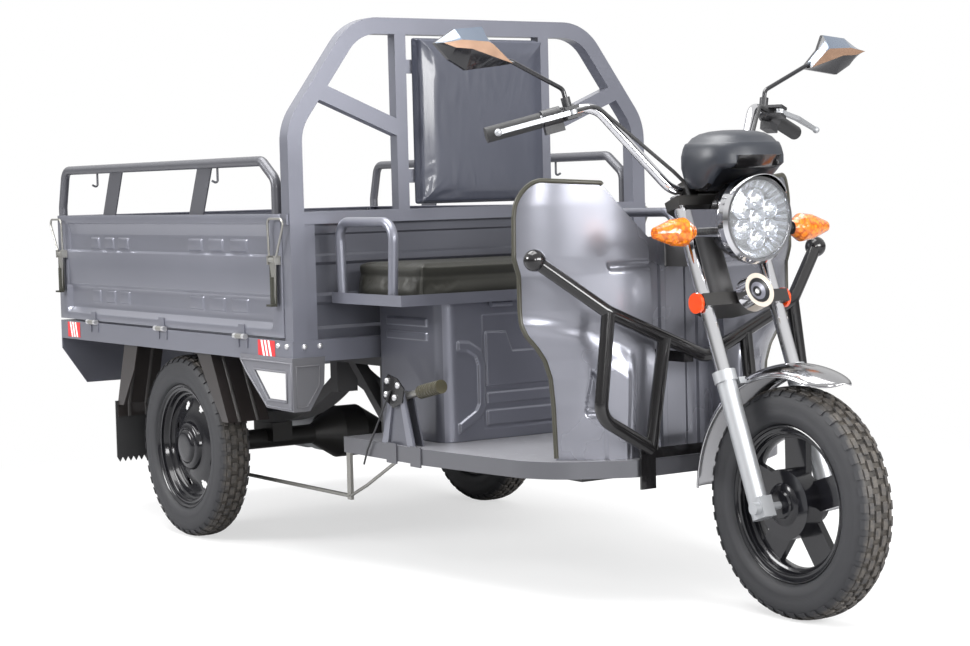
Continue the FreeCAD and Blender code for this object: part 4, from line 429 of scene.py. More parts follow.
for word, body, at in (("front_tyre", "front_wheel", FRONT_AT),
                       ("rear_tyre_right", "right_wheel", (AXLE_X, -TRACK_HALF, TYRE_RADIUS)),
                       ("rear_tyre_left", "left_wheel", (AXLE_X, TRACK_HALF, TYRE_RADIUS))):
    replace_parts(new_piece(word + "_tread", tread, body, at), word)

# Rear rims: pressed steel discs, gloss black, with a rolled lip, a stepped seat, eight oval vents and a
# domed hub cap. They stand for the construction rims and turn with their wheels.
RIM_SIDE = ((0.0300, 0.1520), (0.0305, 0.1620), (0.0330, 0.1655), (0.0352, 0.1658), (0.0360, 0.1635),
            (0.0345, 0.1605), (0.0310, 0.1585), (0.0255, 0.1565), (0.0245, 0.1525), (0.0240, 0.1485),
            (0.0215, 0.1468))
RIM_BACK = ((-0.0345, 0.1600), (-0.0360, 0.1630), (-0.0355, 0.1655), (-0.0330, 0.1655), (-0.0305, 0.1620),
            (-0.0300, 0.1520))
RIM_DISC = ((0.0130, 0.1458), (0.0100, 0.1435), (0.0090, 0.1400), (0.0020, 0.1380), (-0.0030, 0.1350),
            (-0.0040, 0.1300), (-0.0032, 0.1240), (-0.0020, 0.1180), (-0.0002, 0.1120), (0.0020, 0.1060),
            (0.0045, 0.1000), (0.0080, 0.0900), (0.0105, 0.0800), (0.0120, 0.0700), (0.0140, 0.0650),
            (0.0200, 0.0625), (0.0245, 0.0605), (0.0265, 0.0570), (0.0275, 0.0490), (0.0262, 0.0475),
            (0.0270, 0.0455), (0.0315, 0.0435), (0.0345, 0.0390), (0.0356, 0.0320), (0.0360, 0.0200),
            (0.0360, 0.0))
HUB_BACK = ((0.0, 0.038), (-0.034, 0.038), (-0.034, 0.021))
RIM_PLATE = 0.002
RIM_STEPS = 120
VENT_STEPS = 15
SIDES = ((-1, "right"), (1, "left"))


def lathe(name, section, steps, centre, axis="X", gap=None):
    """Turn a section of (distance along the axis, radius), less the faces that fall in a gap."""
    grid = bmesh.new()
    rings = []
    for step in range(steps):
        angle = math.tau * step / steps
        ring = []
        for along, radius in section:
            first, second = radius * math.cos(angle), radius * math.sin(angle)
            spot = (along, first, second) if axis == "X" else (first, along, second)
            ring.append(grid.verts.new(Vector(spot) + centre))
        rings.append(ring)
    for step, (ring, after) in enumerate(zip(rings, rings[1:] + rings[:1])):
        for place in range(len(section) - 1):
            if gap and gap(step, (section[place][1] + section[place + 1][1]) / 2):
                continue
            grid.faces.new((ring[place], after[place], after[place + 1], ring[place + 1]))
    bmesh.ops.remove_doubles(grid, verts=grid.verts, dist=1e-6)
    bmesh.ops.recalc_face_normals(grid, faces=grid.faces)
    return smooth(finished(grid, name))


def mirrored(section, sign):
    """A section turned about for the other side of the vehicle."""
    return [(sign * out, radius) for out, radius in section]


def joined(name, meshes, finish):
    """Several meshes as one."""
    grid = bmesh.new()
    for mesh in meshes:
        grid.from_mesh(mesh)
        bpy.data.meshes.remove(mesh)
    return smooth(finished(grid, name, finish))


def sheet(obj, thickness, offset=-1.0):
    """Give a surface the thickness of its sheet."""
    gauge = obj.modifiers.new("sheet", "SOLIDIFY")
    gauge.thickness = thickness
    gauge.offset = offset


def vent(step, radius):
    """Whether a face of the rim falls in one of the oval vents."""
    aside = abs(step % VENT_STEPS - VENT_STEPS // 2)
    return 0.100 < radius < 0.124 and aside <= (2 if 0.106 < radius < 0.118 else 1)


rim_gloss = Finish("rim gloss", (0.0075, 0.0075, 0.0095), 0.17, vary=0.2, Coat_Weight=0.35,
                   Coat_Roughness=0.04, Specular_IOR_Level=0.30)
for side_sign, side_word in SIDES:
    turned = [lathe("rim", mirrored(section, side_sign), RIM_STEPS, Vector(), "Y", vent)
              for section in (RIM_BACK + RIM_SIDE + RIM_DISC, HUB_BACK)]
    rim = new_piece("rear_rim_disc_" + side_word, joined("rear rim", turned, rim_gloss), side_word + "_wheel",
                    (AXLE_X, side_sign * TRACK_HALF, TYRE_RADIUS))
    sheet(rim, RIM_PLATE, 0.0)
    crisp(rim, 38)
    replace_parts(rim, "rear_rim_" + side_word)

# Front rim: gloss black. A lipped and stepped ring is turned round the spokes and hub of the construction
# piece, with a domed cap over each end of the hub.
RING_STEP = ((0.0150, 0.1455), (0.0130, 0.1420), (0.0120, 0.1385), (0.0060, 0.1365))
SPOKE_REACH = 0.1425
HUB_DOME = ((0.0440, 0.0455), (0.0475, 0.0400), (0.0490, 0.0300), (0.0535, 0.0275), (0.0550, 0.0180),
            (0.0550, 0.0085))


def pared(name, unwanted):
    """A bmesh of a construction piece without the faces that a test picks."""
    grid = bmesh.new()
    grid.from_mesh(nodes[name].data)
    bmesh.ops.delete(grid, geom=[face for face in grid.faces if unwanted(face)], context="FACES")
    return grid


def past_spokes(face):
    reach = min(math.hypot(vertex.co.x - FRONT_AT.x, vertex.co.z - FRONT_AT.z) for vertex in face.verts)
    return reach > SPOKE_REACH


casting = pared("front_rim", past_spokes)
bmesh.ops.translate(casting, verts=casting.verts, vec=-FRONT_AT)
ring_side = RIM_SIDE + RING_STEP
ring_section = list(ring_side) + mirrored(reversed(ring_side), -1) + [ring_side[0]]
wheel_parts = [lathe("front ring", ring_section, RIM_STEPS, Vector(), "Y"), finished(casting, "front spokes")]
wheel_parts += [lathe("hub dome", mirrored(HUB_DOME, sign), 48, Vector(), "Y") for sign in (-1, 1)]
front_rim = new_piece("front_rim_wheel", joined("front rim", wheel_parts, rim_gloss), "front_wheel", FRONT_AT)
crisp(front_rim, 36)
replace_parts(front_rim, "front_rim")

# Deck: folded sheet steel, painted, bolted on the frame between cowl and seat box. It is the construction
# piece; its upward faces are painted lighter than the lip as painted light, with scuffs laid over them.
def repaint(name, finish, picks):
    """Give the faces of a construction piece that a test picks another finish."""
    mesh = nodes[name].data
    mesh.materials.append(finish.material)
    for polygon in mesh.polygons:
        if picks(polygon.center, polygon.normal):
            polygon.material_index = len(mesh.materials) - 1


deck_paint = Finish("deck paint", (0.098, 0.099, 0.110), 0.36, 0.35, vary=0.07, grain=0.03, grain_scale=700,
                    Coat_Weight=0.2)
deck_paint.dress("floor_deck")
lit_deck_top_paint = Finish("deck top painted light", (0.27, 0.27, 0.29), 0.42, 0.35, vary=0.16, patch=7, grain=0.05,
                     grain_scale=500, Coat_Weight=0.2)
scuffs = lit_deck_top_paint.shade.noise(22.0, 8.0, 0.75, 1.5)
lit_deck_top_paint.tint(scuffs.rise(0.52, 0.72) * 0.5, (0.40, 0.40, 0.42))
# The upward faces take the lighter copy of the deck paint as painted light; the scuffs on it are wear.
repaint("floor_deck", lit_deck_top_paint, lambda spot, facing: facing.z > 0.7)

# Front cowl: one moulded shell, two swept wings and a ribbed centre panel set back between them. Each wing
# has a stepped lower half with a scoop, a groove near the seam and dark rubber edging round its outer and
# top edge. It is bolted to the frame.
COWL_LOW = 0.3205
COWL_BASE, COWL_RISE = 0.320, 0.615
COWL_REAR = AXLE_X + 1.425
COWL_NOSE_LOW = AXLE_X + 1.548
COWL_NOSE_TOP = AXLE_X + 1.508
COWL_PANEL_X = AXLE_X + 1.4775
COWL_PANEL_TOP = 0.802
COWL_SEAM = 0.100
COWL_SHEET = 0.004
COWL_BULGE = 0.026
COWL_WIDTHS = ((0.320, 0.293), (0.440, 0.297), (0.500, 0.303), (0.541, 0.318), (0.570, 0.340), (0.596, 0.366),
               (0.620, 0.380), (0.650, 0.384), (0.728, 0.384), (0.748, 0.391), (0.765, 0.396), (0.880, 0.394),
               (0.935, 0.388))
WING_CORNER, WING_CREST, WING_FALL, WING_SEAM_TOP = 0.852, 0.932, 0.924, 0.803
CORNER_SHARE, CREST_SHARE = 0.22, 0.67
LEDGE = ((0.0, 0.640), (0.25, 0.625), (0.49, 0.603), (0.70, 0.572), (0.83, 0.544), (1.0, 0.500))
LOWER_STEP, INNER_STEP, GROOVE_DEPTH, SCOOP_DEPTH = 0.009, 0.005, 0.006, 0.017
NECK_HALF, NECK_TOP = 0.0262, 0.734
PANEL_RIBS = ((0.097, 0.0), (0.092, 0.0), (0.080, 0.0), (0.077, 0.007), (0.064, 0.007), (0.061, 0.0),
              (0.045, 0.0), (0.042, 0.007), (0.029, 0.007), (NECK_HALF, 0.0))
COWL_ROWS = 130
WING_COLUMNS = 84
EDGING_RADIUS = 0.0052
EDGING_SHARE = 0.68


def along(table, value):
    """Read a table of (place, amount) with straight runs between its rows."""
    for (low, first), (high, second) in zip(table, table[1:]):
        if value <= high:
            share = max(0.0, (value - low) / (high - low))
            return first + share * (second - first)
    return table[-1][1]


def ease(low, high, value):
    share = min(1.0, max(0.0, (value - low) / (high - low)))
    return share * share * (3.0 - 2.0 * share)


def wing_point(share, height):
    """A point of the wing, from its outer edge (0) to the seam (1), before any pressing."""
    rise = (height - COWL_BASE) / COWL_RISE
    half = along(COWL_WIDTHS, height)
    nose = COWL_NOSE_LOW + rise * (COWL_NOSE_TOP - COWL_NOSE_LOW)
    bulge = COWL_BULGE * (0.4 + 0.6 * rise)
    middle = ((COWL_REAR + nose) / 2 + bulge, (half + COWL_SEAM) / 2 + bulge)
    first = (1 - share) * (1 - 2 * share)
    second = 4 * share * (1 - share)
    third = share * (2 * share - 1)
    return Vector((COWL_REAR * first + middle[0] * second + nose * third,
                   half * first + middle[1] * second + COWL_SEAM * third, height))


def wing_top(share):
    """Upper edge: a round outer corner, a level crest and a slope down to the seam."""
    if share < CORNER_SHARE:
        turn = 1.0 - share / CORNER_SHARE
        return WING_CORNER + (WING_CREST - WING_CORNER) * math.sqrt(1.0 - turn ** 2)
    if share < CREST_SHARE:
        return WING_CREST + (WING_FALL - WING_CREST) * (share - CORNER_SHARE) / (CREST_SHARE - CORNER_SHARE)
    return WING_FALL + (WING_SEAM_TOP - WING_FALL) * (share - CREST_SHARE) / (1.0 - CREST_SHARE)


def pressing(share, height):
    """How far the moulding stands out from the plain wing."""
    edge = 0.83 - 0.07 * (0.544 - height) / 0.2
    lower = ease(-0.012, 0.045, along(LEDGE, share) - height) * ease(0.0, 0.03, edge - share)
    inner_top = 0.540 - 0.16 * max(0.0, share - 0.62)
    inner = ease(-0.006, 0.030, inner_top - height) * ease(0.0, 0.03, edge - 0.055 - share)
    inner *= ease(0.47, 0.50, share)
    groove = ease(0.009, 0.004, abs(height - 0.741)) * ease(0.685, 0.71, share)
    lean = 0.30 + 0.10 * ease(0.415, 0.535, height)
    scoop = ease(lean, lean + 0.02, share) * ease(0.46, 0.435, share) * ease(0.415, 0.430, height)
    scoop *= ease(0.0, 0.02, 0.535 - 0.25 * (share - 0.36) - height)
    return LOWER_STEP * lower + INNER_STEP * inner - GROOVE_DEPTH * groove - SCOOP_DEPTH * scoop


def wing_face(share, height):
    spot = wing_point(share, height)
    across = wing_point(min(1.0, share + 0.01), height) - wing_point(max(0.0, share - 0.01), height)
    outward = Vector((-across.y, across.x, 0)).normalized()
    return spot + outward * pressing(share, height)


def cowl_column(step):
    """One upright run of the shell: wing columns first, then the return and half of the centre panel."""
    rows = [row / COWL_ROWS for row in range(COWL_ROWS + 1)]
    if step <= WING_COLUMNS:
        share = step / WING_COLUMNS
        return [wing_face(share, COWL_LOW + row * (wing_top(share) - COWL_LOW)) for row in rows]
    spot, stand = PANEL_RIBS[step - WING_COLUMNS - 1]
    tall = COWL_PANEL_TOP - COWL_LOW
    return [Vector((COWL_PANEL_X + stand, spot, COWL_LOW + row * tall)) for row in rows]


def edging(name, points, radius, finish, body, sides=10):
    """A round bead swept along a run of points."""
    curve = bpy.data.curves.new(name, "CURVE")
    curve.dimensions = "3D"
    curve.bevel_depth = radius
    curve.bevel_resolution = sides // 2
    curve.use_fill_caps = True
    run = curve.splines.new("POLY")
    run.points.add(len(points) - 1)
    for place, spot in zip(run.points, points):
        place.co = (spot.x, spot.y, spot.z, 1.0)
    holder = bpy.data.objects.new(name, curve)
    bpy.context.scene.collection.objects.link(holder)
    bpy.context.view_layer.update()
    mesh = bpy.data.meshes.new_from_object(holder.evaluated_get(bpy.context.evaluated_depsgraph_get()))
    bpy.data.objects.remove(holder)
    bpy.data.curves.remove(curve)
    mesh.materials.clear()
    mesh.materials.append(finish.material)
    new_piece(name, smooth(mesh), body)


cowl_paint = Finish("cowl paint", (0.230, 0.234, 0.268), 0.27, 0.60, vary=0.05, grain=0.02, grain_scale=900,
                    Coat_Weight=0.5, Coat_Roughness=0.08)
cowl_columns = [cowl_column(step) for step in range(WING_COLUMNS + 1 + len(PANEL_RIBS))]
shell = bmesh.new()
for side_sign in (-1, 1):
    columns = [[shell.verts.new((spot.x, side_sign * spot.y, spot.z)) for spot in column]
               for column in cowl_columns]
    knit(shell, list(zip(*columns)), flip=side_sign < 0)
neck_panel = ((-NECK_HALF, COWL_LOW), (NECK_HALF, COWL_LOW), (NECK_HALF, NECK_TOP), (-NECK_HALF, NECK_TOP))
shell.faces.new([shell.verts.new((COWL_PANEL_X, across, height)) for across, height in neck_panel])
cowl = new_piece("front_cowl_shell", smooth(finished(shell, "front cowl", cowl_paint)), "chassis")
sheet(cowl, COWL_SHEET, 1.0)
crisp(cowl, 50)
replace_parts(cowl, "front_cowl")
edge_rubber = Finish("edge rubber", (0.040, 0.038, 0.026), 0.42, vary=0.12, grain=0.06)
edge_low = COWL_LOW + 0.004
for side_sign, side_word in SIDES:
    run = [wing_face(0.0, edge_low + (WING_CORNER - edge_low) * step / 60) for step in range(61)]
    shares = [EDGING_SHARE * step / 70 for step in range(1, 71)]
    run += [wing_face(share, wing_top(share)) for share in shares]
    run = [Vector((spot.x, side_sign * spot.y, spot.z)) for spot in run]
    edging("cowl_edging_" + side_word, run, EDGING_RADIUS, edge_rubber, "chassis")

# Bull bar: bent steel tube in gloss black enamel, bolted to the frame in front of the cowl. It is the
# construction piece as it is.
black_gloss = Finish("gloss black", (0.008, 0.0075, 0.008), 0.20, vary=0.2, Coat_Weight=0.45,
                     Coat_Roughness=0.05, Specular_IOR_Level=0.35)
black_gloss.dress("bull_bar")

# Seat box: sheet steel folded round two corners, painted grey; its sides wear a darker copy of the grey
# as painted shade. Its front is pressed with two D-shaped ridges and a stepped panel with two grooves, its
# sides with two ribs. Two pin hinges for the seat pan stand on its front.
BOX_REAR = AXLE_X + 0.720
BOX_FRONT = AXLE_X + 1.000
BOX_HALF = 0.310
BOX_LOW, BOX_TOP = 0.3205, 0.650
BOX_ROUND = 0.040
BOX_WALL = 0.003
BOX_ROWS, BOX_SIDE_STEPS, BOX_CORNER_STEPS, BOX_FRONT_STEPS = 150, 80, 16, 120
D_RIDGE = ((0.279, 0.549), (0.240, 0.546), (0.212, 0.528), (0.2025, 0.500), (0.2025, 0.405), (0.214, 0.384),
           (0.272, 0.350))
D_LIFT, PANEL_SINK, PANEL_LIFT, SIDE_LIFT = 0.006, 0.002, 0.005, 0.004
PANEL_STEP = ((0.0, 0.528), (0.112, 0.528), (0.130, 0.575), (0.200, 0.578))
PANEL_GROOVES = (0.4395, 0.3975)
SIDE_RIBS = (0.603, 0.570)
HINGE_SECTION = ((-0.030, 0.0), (-0.030, 0.007), (-0.0163, 0.007), (-0.0163, 0.004), (0.0163, 0.004),
                 (0.0163, 0.007), (0.030, 0.007), (0.030, 0.0))
HINGE_AT = (AXLE_X + 1.012, 0.150, 0.6428)


def from_line(points, across, height):
    """Shortest distance to a line of points."""
    spot = Vector((across, height))
    best = 1.0
    for first, second in zip(points, points[1:]):
        start, run = Vector(first), Vector(second) - Vector(first)
        share = min(1.0, max(0.0, (spot - start).dot(run) / run.length_squared))
        best = min(best, (spot - start - run * share).length)
    return best


def box_front_relief(across, height):
    across = abs(across)
    ridge = ease(0.0125, 0.0075, from_line(D_RIDGE, across, height))
    panel = ease(0.198, 0.195, across) * ease(0.619, 0.616, height) * ease(0.345, 0.348, height)
    step = along(PANEL_STEP, across)
    proud = ease(0.190, 0.186, across) * ease(-0.0015, 0.0015, step - height) * ease(0.352, 0.356, height)
    for groove in PANEL_GROOVES:
        proud *= 1.0 - ease(0.0095, 0.0065, abs(height - groove))
    return D_LIFT * ridge - PANEL_SINK * panel + PANEL_LIFT * proud


def box_side_relief(ahead, height):
    span = ease(BOX_REAR + 0.03, BOX_REAR + 0.036, ahead) * ease(BOX_FRONT - 0.062, BOX_FRONT - 0.068, ahead)
    return SIDE_LIFT * span * sum(ease(0.0105, 0.0075, abs(height - rib)) for rib in SIDE_RIBS)


def box_walk():
    """The box in plan, from the rear right round the front: place, outward direction and face."""
    bend_x, bend_y = BOX_FRONT - BOX_ROUND, BOX_HALF - BOX_ROUND
    straight = [BOX_REAR + (bend_x - BOX_REAR) * step / BOX_SIDE_STEPS for step in range(BOX_SIDE_STEPS)]
    bends = []
    for sign in (-1, 1):
        turns = [math.pi / 2 * step / BOX_CORNER_STEPS for step in range(BOX_CORNER_STEPS + 1)]
        bends.append([(bend_x + BOX_ROUND * math.sin(turn), sign * (bend_y + BOX_ROUND * math.cos(turn)),
                       math.sin(turn), sign * math.cos(turn), "corner") for turn in turns])
    front = [(BOX_FRONT, bend_y * (step / BOX_FRONT_STEPS - 1.0), 1.0, 0.0, "front")
             for step in range(1, 2 * BOX_FRONT_STEPS)]
    walk = [(x, -BOX_HALF, 0.0, -1.0, "side") for x in straight] + bends[0] + front + bends[1][::-1]
    return walk + [(x, BOX_HALF, 0.0, 1.0, "side") for x in reversed(straight)]


panels = bmesh.new()
columns = []
for x, y, out_x, out_y, face in box_walk():
    column = []
    for row in range(BOX_ROWS + 1):
        height = BOX_LOW + (BOX_TOP - BOX_LOW) * row / BOX_ROWS
        rise = {"front": box_front_relief(y, height), "side": box_side_relief(x, height), "corner": 0.0}[face]
        column.append(panels.verts.new((x + out_x * rise, y + out_y * rise, height)))
    columns.append(column)
for column, after in zip(columns, columns[1:]):
    for row in range(BOX_ROWS):
        panels.faces.new((column[row], after[row], after[row + 1], column[row + 1]))
grey_paint = Finish("grey paint", (0.182, 0.187, 0.222), 0.36, 0.55, vary=0.07, grain=0.03, grain_scale=900,
                    Coat_Weight=0.5, Coat_Roughness=0.10)
shaded_grey_paint = Finish("grey paint painted shade", (0.104, 0.107, 0.128), 0.38, 0.5, vary=0.07, grain=0.03, grain_scale=900,
                     Coat_Weight=0.3)
box_mesh = smooth(finished(panels, "seat box", grey_paint, shaded_grey_paint))
# The sides (faces across the vehicle) take the darker copy of the grey as painted shade.
for polygon in box_mesh.polygons:
    polygon.material_index = 1 if abs(polygon.normal.y) > 0.8 else 0
seat_box = new_piece("seat_box_shell", box_mesh, "chassis")
sheet(seat_box, BOX_WALL)
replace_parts(seat_box, "seat_box")
hinge_x, hinge_y, hinge_z = HINGE_AT
hinges = [lathe("seat hinge", HINGE_SECTION, 24, Vector((hinge_x, side_sign * hinge_y, hinge_z)), "Y")
          for side_sign in (-1, 1)]
hinge_piece = new_piece("seat_hinges", joined("seat hinges", hinges, grey_paint), "chassis")
crisp(hinge_piece, 40)

# Seat: a painted pan on the box hinges, with a black vinyl cushion. The cushion starts from a box of its
# own size, is blown up as cloth held at its foot, and is drawn in along the seam under its crown.
VOXEL = 0.006
CLOTH_STEPS = 20
seat_low, seat_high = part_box("seat_cushion")
seat_middle = (Vector(seat_low) + Vector(seat_high)) / 2
SEAT_SEAM_Z = seat_high[2] - 0.026
SEAT_SEAM_WIDTH = SEAT_SEAM_DEPTH = 0.0035
SEAT_RIM = 0.09
SEAT_HELD = 0.014
SEAT_CAP = 0.0055


def settle(obj):
    """Make what the modifiers show the object's own mesh."""
    graph = bpy.context.evaluated_depsgraph_get()
    shown = bpy.data.meshes.new_from_object(obj.evaluated_get(graph))
    obj.modifiers.clear()
    obj.data = shown


def stuffed(word, shrink, cap, held):
    """A pad swollen by cloth pressure, its held side kept flat."""
    low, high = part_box(word)
    middle = (Vector(low) + Vector(high)) / 2
    foam = bmesh.new()
    bmesh.ops.create_cube(foam, size=1.0)
    for vertex in foam.verts:
        spread = [value * (b - a) * share for value, a, b, share in zip(vertex.co, low, high, shrink)]
        vertex.co = middle + Vector(spread)
    pad = bpy.data.objects.new(word + "_pad", finished(foam, word + " pad"))
    bpy.context.scene.collection.objects.link(pad)
    remesh = pad.modifiers.new("remesh", "REMESH")
    remesh.mode = "VOXEL"
    remesh.voxel_size = VOXEL
    settle(pad)
    start = [vertex.co.copy() for vertex in pad.data.vertices]
    pins = pad.vertex_groups.new(name="held")
    pins.add([vertex.index for vertex in pad.data.vertices if held(vertex.co)], 1.0, "REPLACE")
    cloth = pad.modifiers.new("cloth", "CLOTH")
    cloth.settings.vertex_group_mass = "held"
    cloth.settings.use_pressure = True
    cloth.settings.uniform_pressure_force = 4.0
    cloth.settings.effector_weights.gravity = 0.0
    cloth.settings.quality = 4
    cloth.point_cache.frame_start = 1
    cloth.point_cache.frame_end = CLOTH_STEPS
    for step in range(1, CLOTH_STEPS + 1):
        bpy.context.scene.frame_set(step)
    settle(pad)
    bpy.context.scene.frame_set(1)
    for vertex, spot in zip(pad.data.vertices, start):
        move = vertex.co - spot
        if move.length > cap:
            vertex.co = spot + move * (cap / move.length)
    return pad


def upholster(pad, word, body, finish, seam):
    """Press in the seam, smooth the pad and put it on its body."""
    for vertex in pad.data.vertices:
        vertex.co += seam(vertex.co)
    finer = pad.modifiers.new("finer", "SUBSURF")
    finer.levels = 1
    finer.render_levels = 1
    settle(pad)
    pad.data.materials.clear()
    pad.data.materials.append(finish.material)
    smooth(pad.data)
    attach(pad, body)
    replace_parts(pad, word)


def dip(distance, width, depth):
    """How deep a seam pulls at a distance from its line."""
    return depth * math.exp(-(distance / width) ** 2)


def seat_seam(spot):
    """The boxed edge: a seam all round the side, under the crown."""
    away = Vector((spot.x - seat_middle.x, (spot.y - seat_middle.y) * 0.4, 0))
    pull = dip(spot.z - SEAT_SEAM_Z, SEAT_SEAM_WIDTH, SEAT_SEAM_DEPTH)
    return -away.normalized() * pull if away.length > SEAT_RIM else Vector()


grey_paint.dress("seat_pan")
seat_pad = stuffed("seat_cushion", (0.992, 0.995, 0.98), SEAT_CAP,
                   lambda spot: spot.z < seat_low[2] + SEAT_HELD)
seat_vinyl = Finish("seat vinyl", (0.017, 0.0165, 0.0115), 0.46, vary=0.12, patch=8, grain=0.22,
                    grain_scale=1300)
upholster(seat_pad, "seat_cushion", "seat", seat_vinyl, seat_seam)

# Backrest: blue-grey vinyl over foam, still in a thin clear wrapper that creases. It is swollen like the
# seat, held at its back on the headboard, with a seam near its front edge.
back_low, back_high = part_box("backrest_cushion")
back_middle = (Vector(back_low) + Vector(back_high)) / 2
BACK_SEAM_X = back_high[0] - 0.018
BACK_SEAM_WIDTH = BACK_SEAM_DEPTH = 0.003
BACK_HALF_WIDE, BACK_HALF_TALL = 0.19, 0.208
BACK_RIM_SHARE = 0.8
BACK_HELD = 0.010
BACK_CAP = 0.006


def back_seam(spot):
    """The edge seam round the backrest."""
    away = Vector((0, spot.y - back_middle.y, spot.z - back_middle.z))
    edge = max(abs(away.y) / BACK_HALF_WIDE, abs(away.z) / BACK_HALF_TALL)
    pull = dip(spot.x - BACK_SEAM_X, BACK_SEAM_WIDTH, BACK_SEAM_DEPTH)
    return -away.normalized() * pull if edge > BACK_RIM_SHARE else Vector()


back_pad = stuffed("backrest_cushion", (0.97, 0.99, 0.99), BACK_CAP,
                   lambda spot: spot.x < back_low[0] + BACK_HELD)
back_vinyl = Finish("backrest vinyl", (0.046, 0.050, 0.070), 0.42, vary=0.10, patch=5, Coat_Weight=0.55,
                    Coat_Roughness=0.10)
wrap = back_vinyl.shade
stretch = wrap.make("ShaderNodeMapping", {"Vector": wrap.place(), "Rotation": (0.6, 0, 0),
                                          "Scale": (8.0, 16.0, 5.0)})
creases = wrap.make("ShaderNodeTexNoise", {"Vector": stretch, "Scale": 1.2, "Detail": 3.0, "Distortion": 1.2},
                    noise_type="RIDGED_MULTIFRACTAL")
back_vinyl.feed("Normal", creases.bumped(0.35, 0.004))
# The crease ridges are painted pale as the wrapper's painted sheen.
back_vinyl.tint((creases > 1.35) * 0.35, (0.45, 0.48, 0.52))
upholster(back_pad, "backrest_cushion", "chassis", back_vinyl, back_seam)

# Parking brake: a zinc lever with an olive ribbed grip on a bracket beside the seat box, the bracket plate
# painted a darker copy of the grey as painted shade between the hoop's legs. The bracket wears a pale hoop,
# a black sector with its bolts, a cable down to the linkage and two tabs over the deck's lip.
PARKING_X = AXLE_X + 0.935
BRACKET_FOOT = 0.3195
BRACKET_OUT = -0.3974
HOOP_PLATE, SECTOR_PLATE = 0.005, 0.003
HOOP = (((0.866, 0.3205), (0.893, 0.3205), (0.918, 0.425), (0.907, 0.448)),
        ((0.979, 0.3205), (1.006, 0.3205), (0.963, 0.448), (0.952, 0.425)),
        ((0.918, 0.425), (0.952, 0.425), (0.963, 0.448), (0.907, 0.448)))
SECTOR = ((0.882, 0.428), (0.925, 0.407), (0.965, 0.421), (0.975, 0.455), (0.945, 0.478), (0.905, 0.486),
          (0.885, 0.464))
TAB_STARTS, TAB_LONG, TAB_LOW, TAB_HIGH = (0.894, 1.000), 0.044, 0.276, 0.324
TAB_IN, TAB_OUT = -0.4050, -0.4085
BOLT_HEAD = ((0.0, 0.0075), (-0.004, 0.0075), (-0.006, 0.0045), (-0.0065, 0.0))
SECTOR_BOLTS = ((0.935, 0.432), (0.903, 0.470), (0.950, 0.462), (0.898, 0.438))
WIRE_RADIUS = 0.0024
WIRE = ((0.920, -0.4075, 0.448), (0.900, -0.4105, 0.418), (0.855, -0.4125, 0.352), (0.815, -0.4125, 0.300),
        (0.792, -0.4100, 0.262))


def prism(outline, near, far):
    """A plate with an outline of (x from the rear axle, z) between two places across the vehicle."""
    grid = bmesh.new()
    rings = [[grid.verts.new((AXLE_X + x, across, z)) for x, z in outline] for across in (near, far)]
    for ring in rings:
        grid.faces.new(ring)
    knit(grid, rings, ring=True)
    bmesh.ops.recalc_face_normals(grid, faces=grid.faces)
    return finished(grid, "plate")


def plates(name, outlines, near, far, finish):
    whole = joined(name, [prism(outline, near, far) for outline in outlines], finish)
    crisp(new_piece(name, whole, "chassis"), 30)


zinc = Finish("zinc steel", (0.30, 0.295, 0.275), 0.36, 0.80, vary=0.12, grain=0.05)
zinc.dress("brake_linkage", "parking_brake_lever")
grip_olive = Finish("brake grip", (0.060, 0.054, 0.030), 0.40, vary=0.2, patch=20)
grip_olive.feed("Normal", grip_olive.shade.axis("X").wave(560.0).bumped(0.9, 0.004))
repaint("parking_brake_lever", grip_olive, lambda spot, facing: spot.x > PARKING_X + 0.080)
# The bracket plate takes the darker copy of the grey as painted shade.
repaint("brake_linkage", shaded_grey_paint,
        lambda spot, facing: spot.z > BRACKET_FOOT and spot.x > PARKING_X - 0.08)
hoop_face = BRACKET_OUT - HOOP_PLATE
sector_face = hoop_face - SECTOR_PLATE
plates("brake_hoop", HOOP, BRACKET_OUT, hoop_face, grey_paint)
plates("brake_sector", [SECTOR], hoop_face, sector_face, black_gloss)
tabs = [((x, TAB_LOW), (x + TAB_LONG, TAB_LOW), (x + TAB_LONG, TAB_HIGH), (x, TAB_HIGH)) for x in TAB_STARTS]
plates("brake_tabs", tabs, TAB_IN, TAB_OUT, deck_paint)
heads = [lathe("bolt", BOLT_HEAD, 20, Vector((AXLE_X + x, sector_face, z)), "Y") for x, z in SECTOR_BOLTS]
bright_zinc = Finish("bright zinc", (0.56, 0.56, 0.57), 0.30, 0.75, vary=0.15, patch=60)
new_piece("brake_bolts", joined("brake bolts", heads, bright_zinc), "chassis")
edging("brake_wire", [Vector((AXLE_X + x, y, z)) for x, y, z in WIRE], WIRE_RADIUS, black_plastic, "chassis")

# Bed: floor, front panel, headboard arch, tailgate and side rails of pressed steel and tube. All are
# painted grey, duller on the rails and the panel, and are construction pieces welded to the frame or hinged
# on it. The front panel wears the darker copy of the grey as painted shade.
grey_paint.dress("headboard_arch", "cargo_floor", "tailgate")
# The front panel takes the darker copy of the grey as painted shade.
shaded_grey_paint.dress("cargo_front_panel")
rail_paint = Finish("rail paint", (0.082, 0.083, 0.094), 0.42, 0.35, vary=0.08, grain=0.03, grain_scale=900,
                    Coat_Weight=0.2)
rail_paint.dress("side_rail_right", "side_rail_left")

